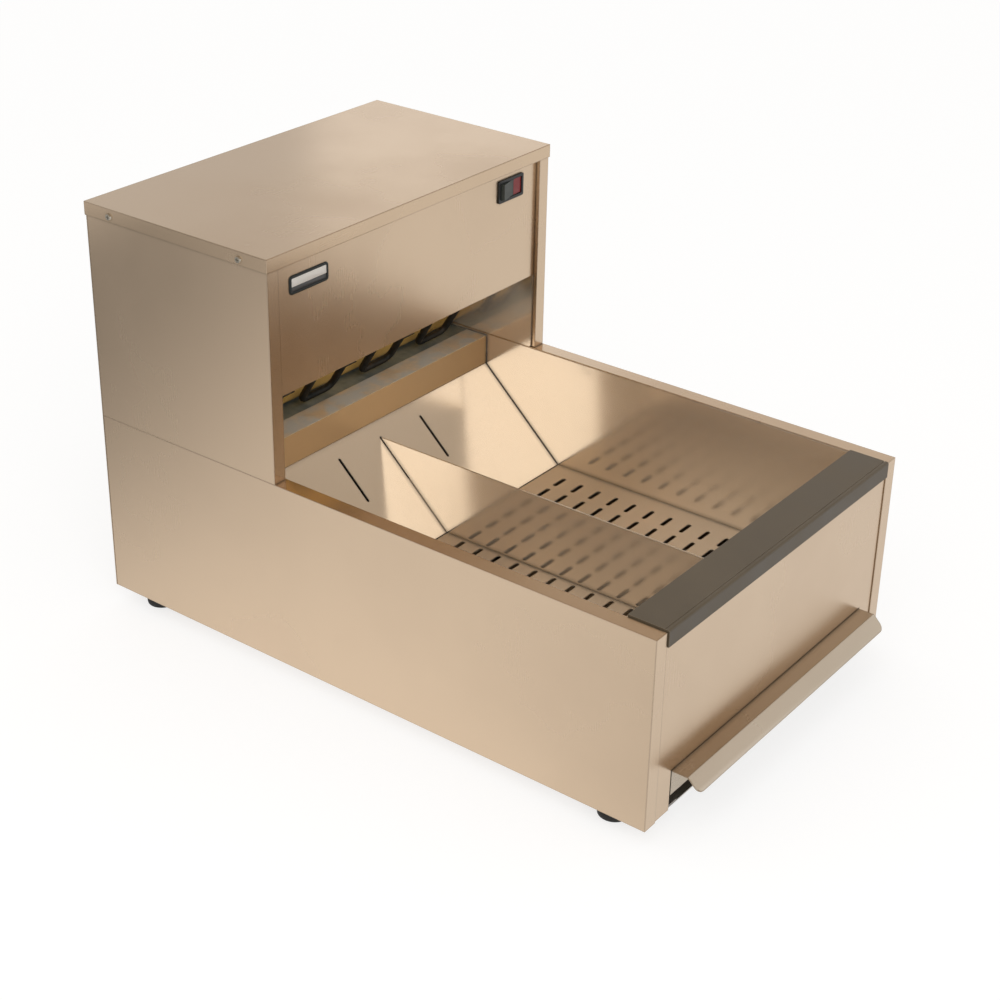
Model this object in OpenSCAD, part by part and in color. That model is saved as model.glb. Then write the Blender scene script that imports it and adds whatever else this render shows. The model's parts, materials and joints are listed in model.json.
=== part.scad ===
// Counter-top chip warmer: a food bin, a heated hood with a fan behind it, and a crumb tray.
// Millimetres, +Z up. The front faces -Y and the left side is -X. The origin lies on the
// surface that the feet stand on, under the middle of the whole outline.
// Heights in the sizes below are measured from the bottom edge of the side panels.

/* [Body] */
// Width over the side panels
body_w = 460; // [420:1:560]
// Depth from the front corner flanges to the back panels
body_d = 717; // [700:1:800]
// Height of the body side panels
body_h = 213; // [208:1:240]
// Thickness of the sheet steel
sheet = 1.2; // [0.8:0.1:1.5]
// Width of the flat rim beside the bin
rim_w = 18; // [16:1:26]
// Width of the flange that each side panel turns under the base
base_flange_w = 40; // [38:1:42]

/* [Front rail] */
// Thickness of the rail on top of the front wall
rail_t = 3.2; // [2.4:0.2:5]
// Height of the rail's front drop
rail_drop = 18; // [10:1:30]
// How far the rail stands out in front of the corner flanges
rail_reach = 1.5; // [1:0.1:4]
// How far the rail hangs over the bin behind the front wall
rail_lap = 2.5; // [1:0.5:6]
// Gap between the rail's ends and the rim
rail_end_gap = 0.5; // [0.3:0.1:2]

/* [Bin] */
// Height of the top face of the bin floor
floor_h = 72; // [66:1:78]
// Distance from the front flanges to the inside of the bin's front wall
front_wall_in = 41.5; // [38:0.5:60]
// Distance from the hood front back to the upright strip
strip_back = 69.5; // [60:0.5:76]
// Height of the ledge under the heater below the rim
ledge_drop = 3; // [3:0.5:6]
// Height of the upright strip between the ledge and the slope
strip_h = 37.5; // [30:0.5:44]
// Depth of the ledge behind the strip
ledge_d = 30; // [20:1:40]
// Angle of the sloped back plate to the floor
slope_angle = 42.5; // [40:0.5:46]
// Width of each divider slot
divider_slot_w = 3.5; // [3.5:0.5:8]
// Length of each divider slot along the slope
divider_slot_l = 58; // [50:1:70]
// Distance from the strip down the slope to the slots
divider_slot_top = 17.5; // [12:0.5:24]
// Spacing of the divider slots and guides across the bin
divider_pitch = 70; // [50:1:90]
// Number of divider places across the bin
divider_places = 3; // [1:2:5]
// Gap between the side walls and the edges of the slope and the ledge
seam_gap = 1.3; // [0.3:0.1:1.6]
// Width of the ledge that carries the bin floor
floor_seat_w = 8; // [6:1:14]

/* [Bin floor holes] */
// Length of each slotted hole
hole_l = 22; // [14:1:26]
// Width of each slotted hole
hole_w = 5; // [3:0.5:8]
// Spacing of the holes across the bin
hole_pitch_x = 32; // [30:1:44]
// Spacing of the holes along the bin
hole_pitch_y = 25; // [20:1:40]
// Bare margin round the pattern
hole_margin = 20; // [14:1:40]

/* [Divider] */
// Thickness of the divider
divider_t = 1.5; // [1.2:0.1:2.4]
// Depth of the divider's top edge below the rim
divider_drop = 52.5; // [48:0.5:80]
// Running gap round the divider
divider_gap = 0.4; // [0.3:0.1:0.8]
// How far the divider's tab reaches through its slot
tab_depth = 4; // [2:0.5:5]
// Depth of the guide angles behind the front wall
guide_d = 10; // [6:1:16]
// Height of the guide angles
guide_h = 70; // [40:1:80]

/* [Crumb tray] */
// Width of the body's front that is left on each side of the tray
leg_w = 44; // [44:1:70]
// Gap between the tray's front and the cut-out it fits
tray_front_gap = 1.2; // [0.6:0.1:2]
// Height of the top of the pull
tray_top_h = 46; // [40:1:48]
// Height of the tray's underside
tray_bottom_h = 17; // [14:1:20]
// Depth of the flat part of the pull
pull_d = 18.5; // [14:0.5:30]
// Length of the bent lip of the pull
lip_l = 19; // [12:0.5:26]
// Angle of the lip below level
lip_angle = 45; // [30:1:60]
// Corner radius of the lip
lip_r = 8; // [4:0.5:11]
// Height of the tray's side walls above its floor
tray_wall_h = 22; // [15:1:24]
// Gap between the tray's back wall and the partition behind it
tray_back_gap = 9; // [4:1:40]
// Gap between the tray's side walls and its runners
tray_side_gap = 1; // [0.5:0.1:2]
// Gap under the tray on its runners
tray_run_gap = 0.3; // [0.3:0.1:0.6]
// Width of the runner's shelf
runner_w = 16; // [10:1:24]

/* [Hood] */
// Depth of the hood from its front flanges to the back panels
hood_d = 254; // [254:1:280]
// Height of the hood above the rim
hood_h = 245; // [220:1:300]
// Width of the hood's front flanges
hood_flange_w = 16; // [14:1:22]
// Depth of the front panel behind the front flanges
hood_recess = 5; // [3:0.5:10]
// Height of the open mouth above the rim
mouth_h = 90.5; // [84:0.5:94]
// Height of the hood's heated chamber above the rim
chamber_h = 104; // [100:1:120]
// Height of the skirt round the top cover
skirt_h = 15; // [12:1:24]
// Thickness of the insulation over the heated chamber
pad_t = 20; // [10:1:25]

/* [Heater] */
// Diameter of the element's tube
tube_d = 8; // [6:0.5:10]
// Spacing of the element's legs
leg_pitch = 50; // [40:1:50]
// Number of legs
leg_count = 8; // [4:2:8]
// Bend radius of the element's corners
element_corner_r = 10; // [10:1:20]
// Length over the element's bends
element_l = 92; // [70:1:92]
// Lean of the element and its reflector towards the front
heater_lean = 32; // [20:1:32]
// Distance from the strip back to the foot of the element
element_back = 38; // [38:1:50]
// Gap between the element's foot and the ledge
element_clear = 4; // [2:0.5:8]
// Distance from the element's middle to the reflector
reflector_gap = 12; // [12:1:24]

/* [Fan] */
// Distance of the fan's shaft from the back panel
fan_in = 68.5; // [66:0.5:72]
// Outer radius of the fan housing
scroll_r = 62; // [56:1:64]
// Height of the fan housing
scroll_h = 48; // [42:1:48]
// Width of the duct that leaves the housing
duct_w = 50; // [36:1:54]
// Height of the fan's bracket
fan_bracket_h = 52; // [48:1:52]
// Radius of the fan wheel
wheel_r = 47; // [44:1:50]
// Number of blades
blade_count = 24; // [12:1:30]
// Radius of the fan's inlet
inlet_r = 34; // [28:1:36]
// Radius of the motor
motor_r = 32; // [26:1:36]
// Radius of the motor's shaft
shaft_r = 3; // [2.5:0.5:4]
// Running clearance round the shaft and the switch pivots
pivot_gap = 0.05; // [0.02:0.01:0.08]

/* [Switch and badge] */
// Width of the switch frame
switch_w = 45; // [40:1:52]
// Height of the switch frame
switch_h = 26; // [23:1:32]
// Distance of the switch's middle from the right side
switch_in = 65; // [50:1:110]
// Depth of the switch's middle below the top of the hood
switch_down = 35.5; // [33:0.5:60]
// Angle between the rocker's two stops
rocker_throw = 16; // [10:1:18]
// Width of the badge
badge_w = 57; // [40:1:70]
// Height of the badge
badge_h = 20; // [14:1:26]
// Distance of the badge's middle from the left side
badge_in = 64; // [56:1:110]
// Depth of the badge's middle below the top of the hood
badge_down = 40.25; // [34:0.25:60]
// Thickness of the badge
badge_t = 1.4; // [0.8:0.1:2.5]

/* [Feet, gland and screws] */
// Height of the feet
foot_h = 20; // [16:1:40]
// Diameter of a foot where it meets the base
foot_d = 37; // [30:1:37]
// Distance of the feet from the sides
foot_in_x = 30; // [20:1:31]
// Distance of the front feet from the front
foot_in_front = 54; // [30:1:80]
// Distance of the back feet from the back
foot_in_back = 42; // [30:1:80]
// Radius of the cord's passage through the gland
cord_r = 4.5; // [3.5:0.5:5.5]
// Distance of the gland from the right side
gland_in = 80; // [50:1:120]
// Height of the gland
gland_z = 62; // [40:1:120]
// Radius of the cover and panel screws
screw_r = 2; // [1.5:0.5:2.5]
// Distance of the cover screws from the hood's front and back
cover_screw_in = 36; // [25:1:60]

/* [Hidden] */

$fn = 64;
eps = 0.01;
// Gap beside a sheet that fits between two others, and round a soft slab
fit_gap = 0.2;
slab_gap = 0.3;

// Finishes
steel = "#cdb99c";
polished = "#d9c7a6";
black = "#1c1b1a";

// Planes of the body
side_x = body_w / 2;
inner_x = side_x - sheet;
wall_x = side_x - rim_w;
front_y = -body_d / 2;
back_y = body_d / 2;
panel_y = front_y + sheet;
back_in_y = back_y - 2 * sheet;
rim_under_z = body_h - sheet;
base_top_z = 2 * sheet;

// Planes of the bin
hood_y = back_y - hood_d;
front_wall_y = front_y + front_wall_in;
strip_y = hood_y + strip_back;
ledge_z = body_h - ledge_drop;
slope_top_z = ledge_z - strip_h;
wall_top_z = rim_under_z - sheet;
function slope_z(y) = slope_top_z - (strip_y - y) * tan(slope_angle);
function slope_y(z) = strip_y - (slope_top_z - z) / tan(slope_angle);
slope_drop = sheet / cos(slope_angle);
slope_foot_y = slope_y(floor_h);
floor_end_y = slope_y(floor_h - sheet) - fit_gap;

// Planes of the hood
top_z = body_h + hood_h;
under_cover_z = top_z - sheet;
mouth_z = body_h + mouth_h;
chamber_z = body_h + chamber_h;
hood_panel_y = hood_y + hood_recess;
hood_panel_back_y = hood_panel_y + sheet;

// Rail
rail_top_z = rim_under_z + rail_t;
rail_x = wall_x - rail_end_gap;

// Tray
tray_x = side_x - leg_w;
cutout_x = tray_x + tray_front_gap;
cutout_z = tray_top_h + tray_front_gap / 2;
partition_back = 34;
partition_y = slope_foot_y + partition_back;
tray_back_y = partition_y - sheet - tray_back_gap;
runner_gap = 0.5;
runner_x = tray_x + runner_gap;
pan_x = runner_x - tray_side_gap;
lip_out = lip_l * cos(lip_angle);
tray_front_reach = -panel_y + pull_d + lip_out;

// Divider, as it stands in the middle slot
divider_rear_gap = 3;
divider_rear_y = strip_y - (divider_slot_top + divider_rear_gap) * cos(slope_angle);
divider_tab_l = 30;
divider_bottom_z = floor_h + divider_gap;
divider_top_z = body_h - divider_drop;
divider_front_gap = 4;
divider_front_y = front_wall_y + divider_front_gap;

// Heater plane: the foot of the element and the directions along and across it
element_r = tube_d / 2;
element_foot_y = strip_y + element_back;
element_foot_z = ledge_z + element_clear + element_r;
half_run = leg_pitch / 2 - element_corner_r;
element_end_l = 36;
end_l = element_l + element_end_l;

// Fan
fan_y = back_y - fan_in;
scroll_z = fan_bracket_h;
scroll_top_z = scroll_z + scroll_h;
deck_z = ledge_z - sheet;

// Switch and badge
switch_x = side_x - switch_in;
switch_z = top_z - switch_down;
badge_x = side_x - badge_in;
badge_z = top_z - badge_down;
bezel_side = 4;
bezel_top = 3.8;
rocker_w = switch_w - 2 * bezel_side;
rocker_h = switch_h - 2 * bezel_top;
rocker_gap = 0.45;
rocker_pivot = 4;
pivot_r = 1.5;

// Gland
gland_x = side_x - gland_in;
gland_r = cord_r + 3;
gland_reach = 18;

// Screws
cover_screw_z = top_z - 0.58 * skirt_h;

// Middle of the whole outline, so that the origin can lie under it
body_y = (tray_front_reach - (back_y + gland_reach)) / 2;

// A box given by its two limits along each axis
module block(x, y, z)
    translate([x[0], y[0], z[0]]) cube([x[1] - x[0], y[1] - y[0], z[1] - z[0]]);

// An outline in the YZ plane, drawn out from x0 to x1
module across(x0, x1)
    translate([x0, 0, 0]) rotate([90, 0, 90]) linear_extrude(x1 - x0) children();

// An outline in the XZ plane, drawn out from y0 to y1
module along(y0, y1)
    translate([0, y1, 0]) rotate([90, 0, 0]) linear_extrude(y1 - y0) children();

// A slot with round ends along the first axis
module slot(l, w) {
    translate([-(l - w) / 2, 0]) circle(d = w, $fn = 24);
    translate([(l - w) / 2, 0]) circle(d = w, $fn = 24);
    square([l - w, w], center = true);
}

// A rectangle about the middle with rounded corners
module rounded(w, h, r)
    difference() {
        square([w, h], center = true);
        for (sx = [-1, 1], sy = [-1, 1])
            translate([sx * (w / 2 - r), sy * (h / 2 - r)]) difference() {
                translate([sx > 0 ? 0 : -r - 1, sy > 0 ? 0 : -r - 1]) square(r + 1);
                circle(r, $fn = 32);
            }
    }

// Moves a piece from the body's own planes to its place over the origin
module placed() translate([0, body_y, foot_h]) children();

// The piece on the left, seen in a mirror
module other_side() mirror([1, 0, 0]) children();

// A screw along -Z, with its head's seat at the origin and a cross in its head
module screw(l, r = screw_r) {
    difference() {
        cylinder(h = r, r1 = 2 * r, r2 = 1.6 * r, $fn = 32);
        for (a = [0, 90])
            rotate(a) translate([-1.1 * r, -0.2 * r, 0.5 * r]) cube([2.2 * r, 0.4 * r, r]);
    }
    translate([0, 0, -l]) cylinder(h = l + eps, r = r, $fn = 32);
}

// Places on the hood's side for the cover screws: the distances along Y
cover_screw_ys = [hood_y + cover_screw_in, back_y - cover_screw_in];

// Places of the screws in the back panels: distance from the middle, and height
back_screw_x = side_x - rim_w / 2;
lower_screw_zs = [30, body_h - 30];
upper_screw_zs = [body_h + 30, top_z - 45];

// Places of the feet
foot_x = side_x - foot_in_x;
foot_front_y = front_y + foot_in_front;
foot_back_y = back_y - foot_in_back;

// Side panel of the body, with the flanges that it turns inwards
module body_side_panel() {
    web_back = back_y - sheet;
    difference() {
        union() {
            block([-side_x, -inner_x], [front_y, web_back], [0, body_h]);
            block([-inner_x, -wall_x], [front_y, web_back], [rim_under_z, body_h]);
            block([-inner_x, -wall_x], [front_y, panel_y], [0, rim_under_z]);
            block([-inner_x, -wall_x], [back_in_y, web_back], [0, rim_under_z]);
            block([-inner_x, -side_x + base_flange_w], [panel_y + sheet, back_in_y], [0, sheet]);
        }
        for (y = [foot_front_y, foot_back_y])
            translate([-foot_x, y, -1]) cylinder(h = sheet + 2, r = 3.2, $fn = 32);
        for (z = lower_screw_zs)
            translate([-back_screw_x, back_y, z]) rotate([90, 0, 0])
                cylinder(h = 4 * sheet, r = screw_r + 0.1, $fn = 32);
    }
}
module body_left_panel() color(steel) placed() body_side_panel();
module body_right_panel() color(steel) placed() other_side() body_side_panel();

// Front panel behind the corner flanges, with the tray's cut-out and a top flange
module body_front_panel() color(steel) placed() {
    y = [panel_y, panel_y + sheet];
    difference() {
        block([-inner_x, inner_x], y, [0, wall_top_z]);
        block([-cutout_x, cutout_x], [y[0] - 1, y[1] + 1], [-1, cutout_z]);
    }
    block([-wall_x, wall_x], [y[1] - eps, y[1] + 20], [wall_top_z - sheet, wall_top_z]);
}

// Lower back panel, with its vents and the gland's hole
module body_back_panel() color(steel) placed() difference() {
    block([-side_x, side_x], [back_y - sheet, back_y], [0, body_h]);
    along(back_y - 2 * sheet, back_y + sheet) {
        for (x = [-60:20:60])
            translate([x, 75]) rotate(90) slot(60, 7);
        translate([gland_x, gland_z]) circle(gland_r + 0.2);
    }
    panel_screw_holes(lower_screw_zs);
}

// Holes for the screws of a back panel
module panel_screw_holes(zs)
    for (sx = [-1, 1], z = zs)
        translate([sx * back_screw_x, back_y + 1, z]) rotate([90, 0, 0])
            cylinder(h = sheet + 2, r = screw_r + 0.1, $fn = 32);

// Pan that closes the bottom
module base_pan() color(steel) placed() difference() {
    block([-inner_x, inner_x], [panel_y + sheet, back_in_y], [sheet, base_top_z]);
    for (sx = [-1, 1], y = [foot_front_y, foot_back_y])
        translate([sx * foot_x, y, 0]) cylinder(h = 4 * sheet, r = 3.2, $fn = 32);
}

// Dark rail over the front wall: an extrusion with a rounded nose
module front_rail() color("#5b554d") placed() {
    nose_y = front_y - rail_reach;
    nose_r = 2.4;
    groove = 0.8;
    across(-rail_x, rail_x) difference() {
        union() {
            translate([nose_y + nose_r, rim_under_z])
                square([front_wall_y + rail_lap - nose_y - nose_r, rail_t]);
            translate([nose_y, rail_top_z - rail_drop])
                square([panel_y - nose_y, rail_drop - nose_r]);
            intersection() {
                translate([nose_y + nose_r, rail_top_z - nose_r]) circle(nose_r, $fn = 32);
                translate([nose_y, rail_top_z - nose_r]) square(nose_r);
            }
        }
        translate([nose_y + 5, rail_top_z]) circle(groove, $fn = 24);
    }
}

// Side wall of the bin, hung under the rim, with the seat of the bin floor
module bin_side_wall() {
    y = [front_wall_y - sheet, back_in_y];
    floor_seat_z = [floor_h - 2 * sheet, floor_h - sheet];
    block([-wall_x - sheet, -wall_x], y, [floor_seat_z[0], rim_under_z]);
    block([-inner_x + 2, -wall_x - sheet + eps], y, [wall_top_z, rim_under_z]);
    block([-wall_x - eps, -wall_x + floor_seat_w], [front_wall_y, slope_foot_y - 4], floor_seat_z);
}
module bin_wall_left() color(polished) placed() bin_side_wall();
module bin_wall_right() color(polished) placed() other_side() bin_side_wall();

// Front wall of the bin, with a flange that the rail covers and a seat for the floor
module bin_wall_front() color(polished) placed() {
    floor_seat_z = [floor_h - 2 * sheet, floor_h - sheet];
    y = front_wall_y;
    block([-wall_x, wall_x], [y - sheet, y], [floor_seat_z[0], rim_under_z]);
    block([-wall_x, wall_x], [panel_y + sheet, y - sheet + eps], [wall_top_z, rim_under_z]);
    seat_x = wall_x - floor_seat_w - fit_gap;
    block([-seat_x, seat_x], [y - eps, y + floor_seat_w], floor_seat_z);
}

// Perforated floor of the bin
module bin_floor() color(polished) placed() {
    x = wall_x - fit_gap;
    y = [front_wall_y + fit_gap, floor_end_y];
    nx = floor((2 * x - 2 * hole_margin - hole_l) / hole_pitch_x);
    ny = floor((y[1] - y[0] - 2 * hole_margin - hole_w) / hole_pitch_y);
    translate([0, 0, floor_h - sheet]) linear_extrude(sheet) difference() {
        translate([-x, y[0]]) square([2 * x, y[1] - y[0]]);
        translate([0, (y[0] + y[1]) / 2])
            for (i = [0:nx], j = [0:ny])
                translate([(i - nx / 2) * hole_pitch_x, (j - ny / 2) * hole_pitch_y])
                    slot(hole_l, hole_w);
    }
}

// The divider places across the bin
divider_xs = [for (i = [0:divider_places - 1]) (i - (divider_places - 1) / 2) * divider_pitch];

// Sloped back plate of the bin, with the slots that take the divider's tab
module bin_slope() color(polished) placed() {
    x = wall_x - seam_gap;
    strip_back_y = strip_y + sheet;
    bend_z = slope_z(strip_back_y);
    difference() {
        across(-x, x) {
            polygon([[slope_foot_y, floor_h], [strip_back_y, bend_z], [strip_back_y, bend_z + 12],
                [strip_back_y + sheet, bend_z + 12], [strip_back_y + sheet, bend_z + 0.4 - slope_drop],
                [slope_foot_y + slope_drop / tan(slope_angle) * 0.5, floor_h - 0.5 * slope_drop]]);
        }
        translate([0, strip_y, slope_top_z]) rotate([slope_angle, 0, 0])
            for (x = divider_xs)
                translate([x, -divider_slot_top - divider_slot_l / 2, -3]) linear_extrude(6)
                    rotate(90) slot(divider_slot_l, divider_slot_w);
    }
}

// Upright strip and ledge in front of the heater
module bin_ledge() color(polished) placed() {
    x = wall_x - seam_gap;
    block([-x, x], [strip_y, strip_y + sheet], [slope_z(strip_y + sheet), ledge_z]);
    block([-x, x], [strip_y + sheet - eps, strip_y + ledge_d], [deck_z, ledge_z]);
}

// Pairs of angles on the front wall that hold the divider's front edge
module divider_guides() color(polished) placed()
    for (x = divider_xs, side = [-1, 1])
        translate([x, front_wall_y, floor_h]) scale([side, 1, 1]) guide_angle();
module guide_angle() {
    inner = divider_t / 2 + divider_gap;
    block([inner, inner + sheet], [0, guide_d], [0, guide_h]);
    block([inner + sheet - eps, inner + 9], [0, sheet], [0, guide_h]);
}

// Divider plate, whose tab stands in the middle slot of the slope
slope_gap = 0.6;
function divider_z(y, down = 0) = slope_z(y) + (slope_gap - down) / cos(slope_angle);
module divider() color("#b9a583") placed() {
    foot_y = slope_y(divider_bottom_z) - slope_gap / sin(slope_angle);
    tab_y = divider_rear_y - 6;
    tab_end_y = tab_y - divider_tab_l * cos(slope_angle);
    across(-divider_t / 2, divider_t / 2) polygon([
        [divider_front_y, divider_bottom_z], [foot_y, divider_bottom_z],
        [tab_end_y, divider_z(tab_end_y)], [tab_end_y, divider_z(tab_end_y, tab_depth)],
        [tab_y, divider_z(tab_y, tab_depth)], [tab_y, divider_z(tab_y)],
        [divider_rear_y, divider_z(divider_rear_y)], [divider_rear_y, divider_top_z],
        [divider_front_y, divider_top_z]]);
}

// Insulation between the bin and the panels
module insulation_side() {
    block([-inner_x + slab_gap, -wall_x - sheet - slab_gap],
        [panel_y + 2 * sheet, partition_y - sheet - slab_gap], [floor_h, wall_top_z - slab_gap]);
}
module insulation_left() color("#e6dfc4") placed() insulation_side();
module insulation_right() color("#e6dfc4") placed() other_side() insulation_side();
module insulation_front() color("#e6dfc4") placed()
    block([-wall_x + 1, wall_x - 1], [panel_y + sheet + slab_gap, front_wall_y - sheet - slab_gap],
        [floor_h, wall_top_z - sheet - slab_gap]);

// Crumb tray: a folded pan whose front carries the pull
module crumb_tray() color(steel) placed() {
    front = tray_x;
    front_back_y = panel_y + sheet;
    floor_z = [tray_bottom_h, tray_bottom_h + sheet];
    wall_z = [tray_bottom_h, tray_bottom_h + tray_wall_h];
    block([-front, front], [panel_y, front_back_y], [tray_bottom_h, tray_top_h]);
    block([-front, front], [panel_y - pull_d, panel_y + eps], [tray_top_h - sheet, tray_top_h]);
    tray_lip(front);
    block([-pan_x, pan_x], [front_back_y - eps, tray_back_y], floor_z);
    for (s = [-1, 1])
        block([s > 0 ? pan_x - sheet : -pan_x, s > 0 ? pan_x : -pan_x + sheet],
            [front_back_y - eps, tray_back_y], wall_z);
    block([-pan_x, pan_x], [tray_back_y - sheet, tray_back_y], wall_z);
}
module tray_lip(front)
    translate([0, panel_y - pull_d, tray_top_h]) rotate([lip_angle, 0, 0])
        translate([0, 0, -sheet]) linear_extrude(sheet) difference() {
            translate([-front, -lip_l]) square([2 * front, lip_l + sheet * 0.4]);
            for (s = [-1, 1])
                translate([s * (front - lip_r), -lip_l + lip_r]) difference() {
                    translate([s > 0 ? 0 : -lip_r - 1, -lip_r - 1]) square(lip_r + 1);
                    circle(lip_r, $fn = 32);
                }
        }

// Channel that carries and guides one edge of the tray
module tray_runner() {
    y = [panel_y + sheet + fit_gap, tray_back_y];
    shelf_z = tray_bottom_h - tray_run_gap;
    block([-runner_x - sheet, -runner_x], y, [base_top_z, tray_bottom_h + tray_wall_h]);
    block([-runner_x - eps, -runner_x + runner_w], y, [base_top_z, base_top_z + sheet]);
    block([-runner_x - eps, -runner_x + runner_w], y, [shelf_z - sheet, shelf_z]);
}
module tray_runner_left() color(steel) placed() tray_runner();
module tray_runner_right() color(steel) placed() other_side() tray_runner();

// Wall between the space under the bin and the fan
module partition() color(steel) placed() {
    top = slope_z(partition_y - sheet) - slope_drop - 0.4;
    difference() {
        block([-inner_x + slab_gap, inner_x - slab_gap], [partition_y - sheet, partition_y], [base_top_z, top]);
        duct_space(partition_y - 2 * sheet);
        for (s = [-1, 1])
            translate([s * (wall_x + sheet / 2), partition_y, (floor_h + top) / 2])
                cube([sheet + 0.6, 4 * sheet, top - floor_h + 10], center = true);
    }
}

// The air's way out of the fan, from the given plane back to the fan
module duct_space(y0)
    block([scroll_r - duct_w + sheet, scroll_r - sheet], [y0, fan_y],
        [scroll_z + sheet, scroll_top_z - sheet]);

// Side panel of the hood, with its front flange, return lip and other flanges
module hood_side_panel() {
    web_back = back_y - sheet;
    flange_x = -side_x + hood_flange_w;
    difference() {
        union() {
            block([-side_x, -inner_x], [hood_y, web_back], [body_h, under_cover_z]);
            block([-inner_x - eps, flange_x], [hood_y, hood_y + sheet], [body_h, under_cover_z]);
            block([flange_x - sheet, flange_x], [hood_y + sheet - eps, hood_panel_y],
                [body_h, under_cover_z]);
            block([-inner_x - eps, -wall_x - sheet - 2], [hood_y + sheet - eps, back_in_y],
                [body_h, body_h + sheet]);
            block([-inner_x - eps, flange_x - sheet - 1], [hood_y + sheet - eps, back_in_y],
                [under_cover_z - sheet, under_cover_z]);
            block([-inner_x - eps, -wall_x - sheet - 2], [back_in_y, web_back],
                [body_h, under_cover_z]);
        }
        cover_screw_holes();
        for (z = upper_screw_zs)
            translate([-back_screw_x, back_y, z]) rotate([90, 0, 0])
                cylinder(h = 4 * sheet, r = screw_r + 0.1, $fn = 32);
    }
}
module cover_screw_holes()
    for (y = cover_screw_ys)
        translate([-side_x - 2 * sheet, y, cover_screw_z]) rotate([0, 90, 0])
            cylinder(h = 4 * sheet, r = screw_r + 0.1, $fn = 32);
module hood_left_panel() color(steel) placed() hood_side_panel();
module hood_right_panel() color(steel) placed() other_side() hood_side_panel();

// Front panel of the hood over the mouth, with the switch's hole
module hood_front_panel() color(steel) placed() {
    top = under_cover_z - sheet;
    y = [hood_panel_y, hood_panel_back_y];
    return_x = wall_x - fit_gap;
    difference() {
        block([-inner_x, inner_x], y, [mouth_z, top]);
        translate([switch_x, y[0], switch_z])
            cube([switch_w - 3, 4 * sheet, switch_h - 3], center = true);
    }
    block([-return_x, return_x], [y[1] - eps, y[1] + 14], [mouth_z, mouth_z + sheet]);
    block([-return_x, return_x], [y[1] - eps, y[1] + 14], [top - sheet, top]);
}

// Upper back panel with the hood's vents
module hood_back_panel() color(steel) placed() difference() {
    block([-side_x, side_x], [back_y - sheet, back_y], [body_h, under_cover_z]);
    along(back_y - 2 * sheet, back_y + sheet)
        for (x = [-100:20:100])
            translate([x, chamber_z + 55]) rotate(90) slot(50, 6);
    panel_screw_holes(upper_screw_zs);
}

// Inner wall of the hood's heated chamber
module hood_inner_wall() {
    block([-wall_x - sheet, -wall_x], [hood_panel_back_y - eps, back_in_y], [body_h, chamber_z]);
    block([-inner_x + 1, -wall_x], [hood_panel_y, hood_panel_back_y], [body_h + sheet, mouth_z]);
}
module hood_inner_left() color(polished) placed() hood_inner_wall();
module hood_inner_right() color(polished) placed() other_side() hood_inner_wall();

// Ceiling of the heated chamber, with holes for the element's ends and the wires
module chamber_ceiling() color(polished) placed() difference() {
    block([-inner_x, inner_x], [hood_panel_back_y, back_in_y], [chamber_z, chamber_z + sheet]);
    element_ends() translate([0, 0, element_l - 10])
        cylinder(h = 60, r = bushing_r + 0.15, $fn = 32);
    translate([riser_x, riser_y, chamber_z - 1]) cylinder(h = sheet + 2, r = riser_hole_r, $fn = 32);
}

// Insulation that lies on the ceiling
module hood_insulation() color("#e6dfc4") placed()
    block([-wall_x + 10, control_x[0] - 20], [hood_panel_back_y + 72, back_in_y - 8],
        [chamber_z + sheet, chamber_z + sheet + pad_t]);

// Folded cover of the hood, whose skirt stands outside the panels
module top_cover() color(steel) placed() difference() {
    block([-side_x - sheet, side_x + sheet], [hood_y - sheet, back_y + sheet], [top_z - skirt_h, top_z]);
    block([-side_x, side_x], [hood_y, back_y], [top_z - skirt_h - 1, under_cover_z]);
    cover_screw_holes();
    other_side() cover_screw_holes();
}

// Deck under the heater, with the fan's inlet
module air_deck() color(steel) placed() {
    x = wall_x - fit_gap;
    difference() {
        block([-x, x], [strip_y + ledge_d - 12, back_in_y], [deck_z - sheet, deck_z]);
        translate([0, fan_y, deck_z - 2 * sheet]) cylinder(h = 3 * sheet, r = inlet_r);
        translate([riser_x, riser_y, deck_z - 2 * sheet]) cylinder(h = 3 * sheet, r = riser_hole_r, $fn = 32);
    }
}

// Moves a piece to the foot of the element's plane, with +Z along its legs
module heater_plane()
    translate([0, element_foot_y, element_foot_z]) rotate([heater_lean, 0, 0]) children();

// The two outer legs, where the element's ends leave
module element_ends()
    for (s = [-1, 1])
        heater_plane() translate([s * (leg_count - 1) * leg_pitch / 2, 0, 0]) children();

// Polished reflector behind the element, with slots for the air that returns
module heater_reflector() color("#d8bd80") placed() {
    x = wall_x - 0.5;
    foot = (ledge_z - element_foot_z) / cos(heater_lean) - reflector_gap * tan(heater_lean);
    top = (chamber_z - element_foot_z) / cos(heater_lean) - (reflector_gap + sheet) * tan(heater_lean);
    heater_plane() difference() {
        block([-x, x], [reflector_gap, reflector_gap + sheet], [foot + sheet, top - 0.3]);
        along(reflector_gap - 1, reflector_gap + sheet + 1)
            for (i = [0:leg_count - 2])
                translate([(i - leg_count / 2 + 1) * leg_pitch, element_l / 2]) rotate(90) slot(56, 8);
    }
}

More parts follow.
